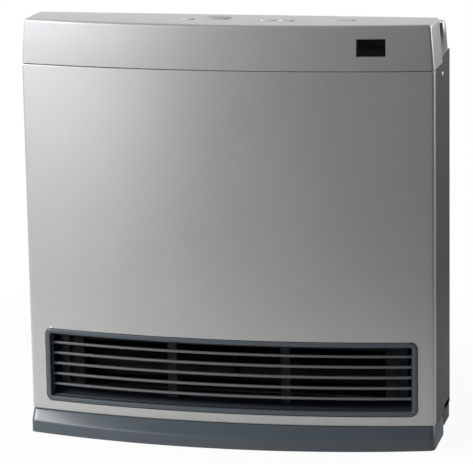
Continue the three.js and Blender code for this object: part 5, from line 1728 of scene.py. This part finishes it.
@dataclass
class Studio:
    """Camera, lamps, floor and surroundings."""

    focal_pixels: float = 2822.27
    frame_pixels: float = 473.0
    sensor_millimetres: float = 36.0
    position: Triple = (0.6884, -2.9899, 0.9026)
    yaw: float = 0.2259
    pitch: float = 0.2159
    roll: float = -0.0168
    ambient: float = 0.04
    room_edge: float = 0.0
    room_fade: float = 2.2
    floor_size: float = 12.0
    paper_shape: Triple = (0.9, 1.4, 1.0)
    paper_fade: float = 2.0
    paper_colour: Colour = (0.8, 0.8, 0.8)
    paper_roughness: float = 0.9
    paper_specular: float = 0.1
    fibre: float = 0.02
    fibre_share: float = 0.03
    room_floor: Colour = (0.1, 0.1, 0.1)
    shadow_share: float = 0.06
    white: Colour = (1.0, 1.0, 1.0)

    def build(self) -> None:
        """Sets everything round the heater."""
        self.set_camera()
        self.set_world()
        self.lay_floor()
        for lamp in self.lamps():
            lamp.build()
        bpy.context.scene.view_settings.view_transform = "Standard"

    def lamps(self) -> list[Lamp]:
        """The soft boxes: two from the left, a weak one in front and one at the right."""
        return [
            Lamp("key_left", (-2.2, -1.0, 1.3), 1.0, 1.0, 88.0),
            Lamp("front_left", (-1.3, -1.7, 0.7), 1.0, 1.2, 8.9),
            Lamp("front_right", (1.4, -2.4, 1.0), 1.5, 1.2, 2.2),
            Lamp("side_right", (1.9, 1.0, 0.9), 1.0, 1.0, 26.0),
        ]

    def set_camera(self) -> None:
        """Places the camera at the photograph's angle."""
        sy, cy = math.sin(self.yaw), math.cos(self.yaw)
        sp, cp = math.sin(self.pitch), math.cos(self.pitch)
        ahead = Vector((-sy * cp, cy * cp, -sp))
        right = Vector((cy, sy, 0.0))
        up = right.cross(ahead)
        sr, cr = math.sin(self.roll), math.cos(self.roll)
        across = right * cr + up * sr
        upward = up * cr - right * sr
        turned = Matrix((across, upward, -ahead)).transposed()
        data = bpy.data.cameras.new("camera")
        data.sensor_width = self.sensor_millimetres
        data.lens = self.focal_pixels / self.frame_pixels * data.sensor_width
        camera = bpy.data.objects.new("camera", data)
        camera.matrix_world = Matrix.LocRotScale(Vector(self.position), turned.to_quaternion(), None)
        bpy.context.scene.collection.objects.link(camera)
        bpy.context.scene.camera = camera

    def set_world(self) -> None:
        """White round and behind the heater, with a dim room in front for the metal to show."""
        world = bpy.data.worlds.new("studio")
        bpy.context.scene.world = world
        world.use_nodes = True
        graph = ShaderGraph.on_tree(world.node_tree)
        rays = graph.add("ShaderNodeLightPath").outputs
        direction = graph.add("ShaderNodeTexCoord").outputs["Generated"]
        split = graph.add("ShaderNodeSeparateXYZ", None, {0: direction})
        behind = ((Field(graph, split.outputs["Y"]) - self.room_edge) * self.room_fade).clamped()
        mirrored = (Field(graph, rays["Is Glossy Ray"]) + Field(graph, rays["Is Transmission Ray"])).clamped()
        white = (Field(graph, rays["Is Camera Ray"]) + mirrored * behind).clamped()
        level = white + (1 - white) * self.ambient
        graph.feed(graph.nodes["Background"].inputs["Strength"], level)
        graph.feed(graph.nodes["Background"].inputs["Color"], self.white)

    def lay_floor(self) -> None:
        """A pale sheet that reads white to the camera, keeps a shadow and ends in the dim room."""
        bm = bmesh.new()
        bmesh.ops.create_grid(bm, x_segments=1, y_segments=1, size=self.floor_size / 2)
        mesh = bpy.data.meshes.new("floor")
        bm.to_mesh(mesh)
        bm.free()
        floor = bpy.data.objects.new("floor", mesh)
        bpy.context.scene.collection.objects.link(floor)
        graph = ShaderGraph("floor_paper")
        spot = graph.add("ShaderNodeVectorMath", {"operation": "LENGTH"}, {0: graph.place(self.paper_shape)})
        paper = ((1.0 - Field(graph, spot.outputs["Value"])) * self.paper_fade).clamped()
        fibre = graph.noise(self.fibre)
        graph.dress(
            Base_Color=graph.blend(paper - fibre * self.fibre_share, self.room_floor, self.paper_colour),
            Roughness=self.paper_roughness,
            Specular_IOR_Level=self.paper_specular,
        )
        rays = graph.add("ShaderNodeLightPath").outputs
        seen = Field(graph, rays["Is Camera Ray"])
        lit = graph.add("ShaderNodeEmission", None, {"Color": self.white, "Strength": 1.0})
        share = seen * (1.0 - paper * self.shadow_share)
        inputs = {0: share, 1: graph.shader.outputs[0], 2: lit.outputs[0]}
        mixed = graph.add("ShaderNodeMixShader", None, inputs)
        graph.links.new(mixed.outputs[0], graph.nodes["Material Output"].inputs["Surface"])
        mesh.materials.append(graph.material)


def main() -> None:
    """Builds the studio, then every sub-assembly in order."""
    logging.basicConfig(level=logging.INFO, format="%(name)s: %(message)s")
    Studio().build()
    plinth = Plinth()
    louvre = Louvre()
    controls = Controls()
    panel = FrontPanel()
    plinth.build()
    panel.build(louvre)
    ControlCover().build(controls)
    SidePanels().build(plinth)
    SideScrews().build()
    louvre.build()
    controls.build(panel.face)
    Filters().build()
    CarriedOver().build()


if __name__ == "__main__":
    main()
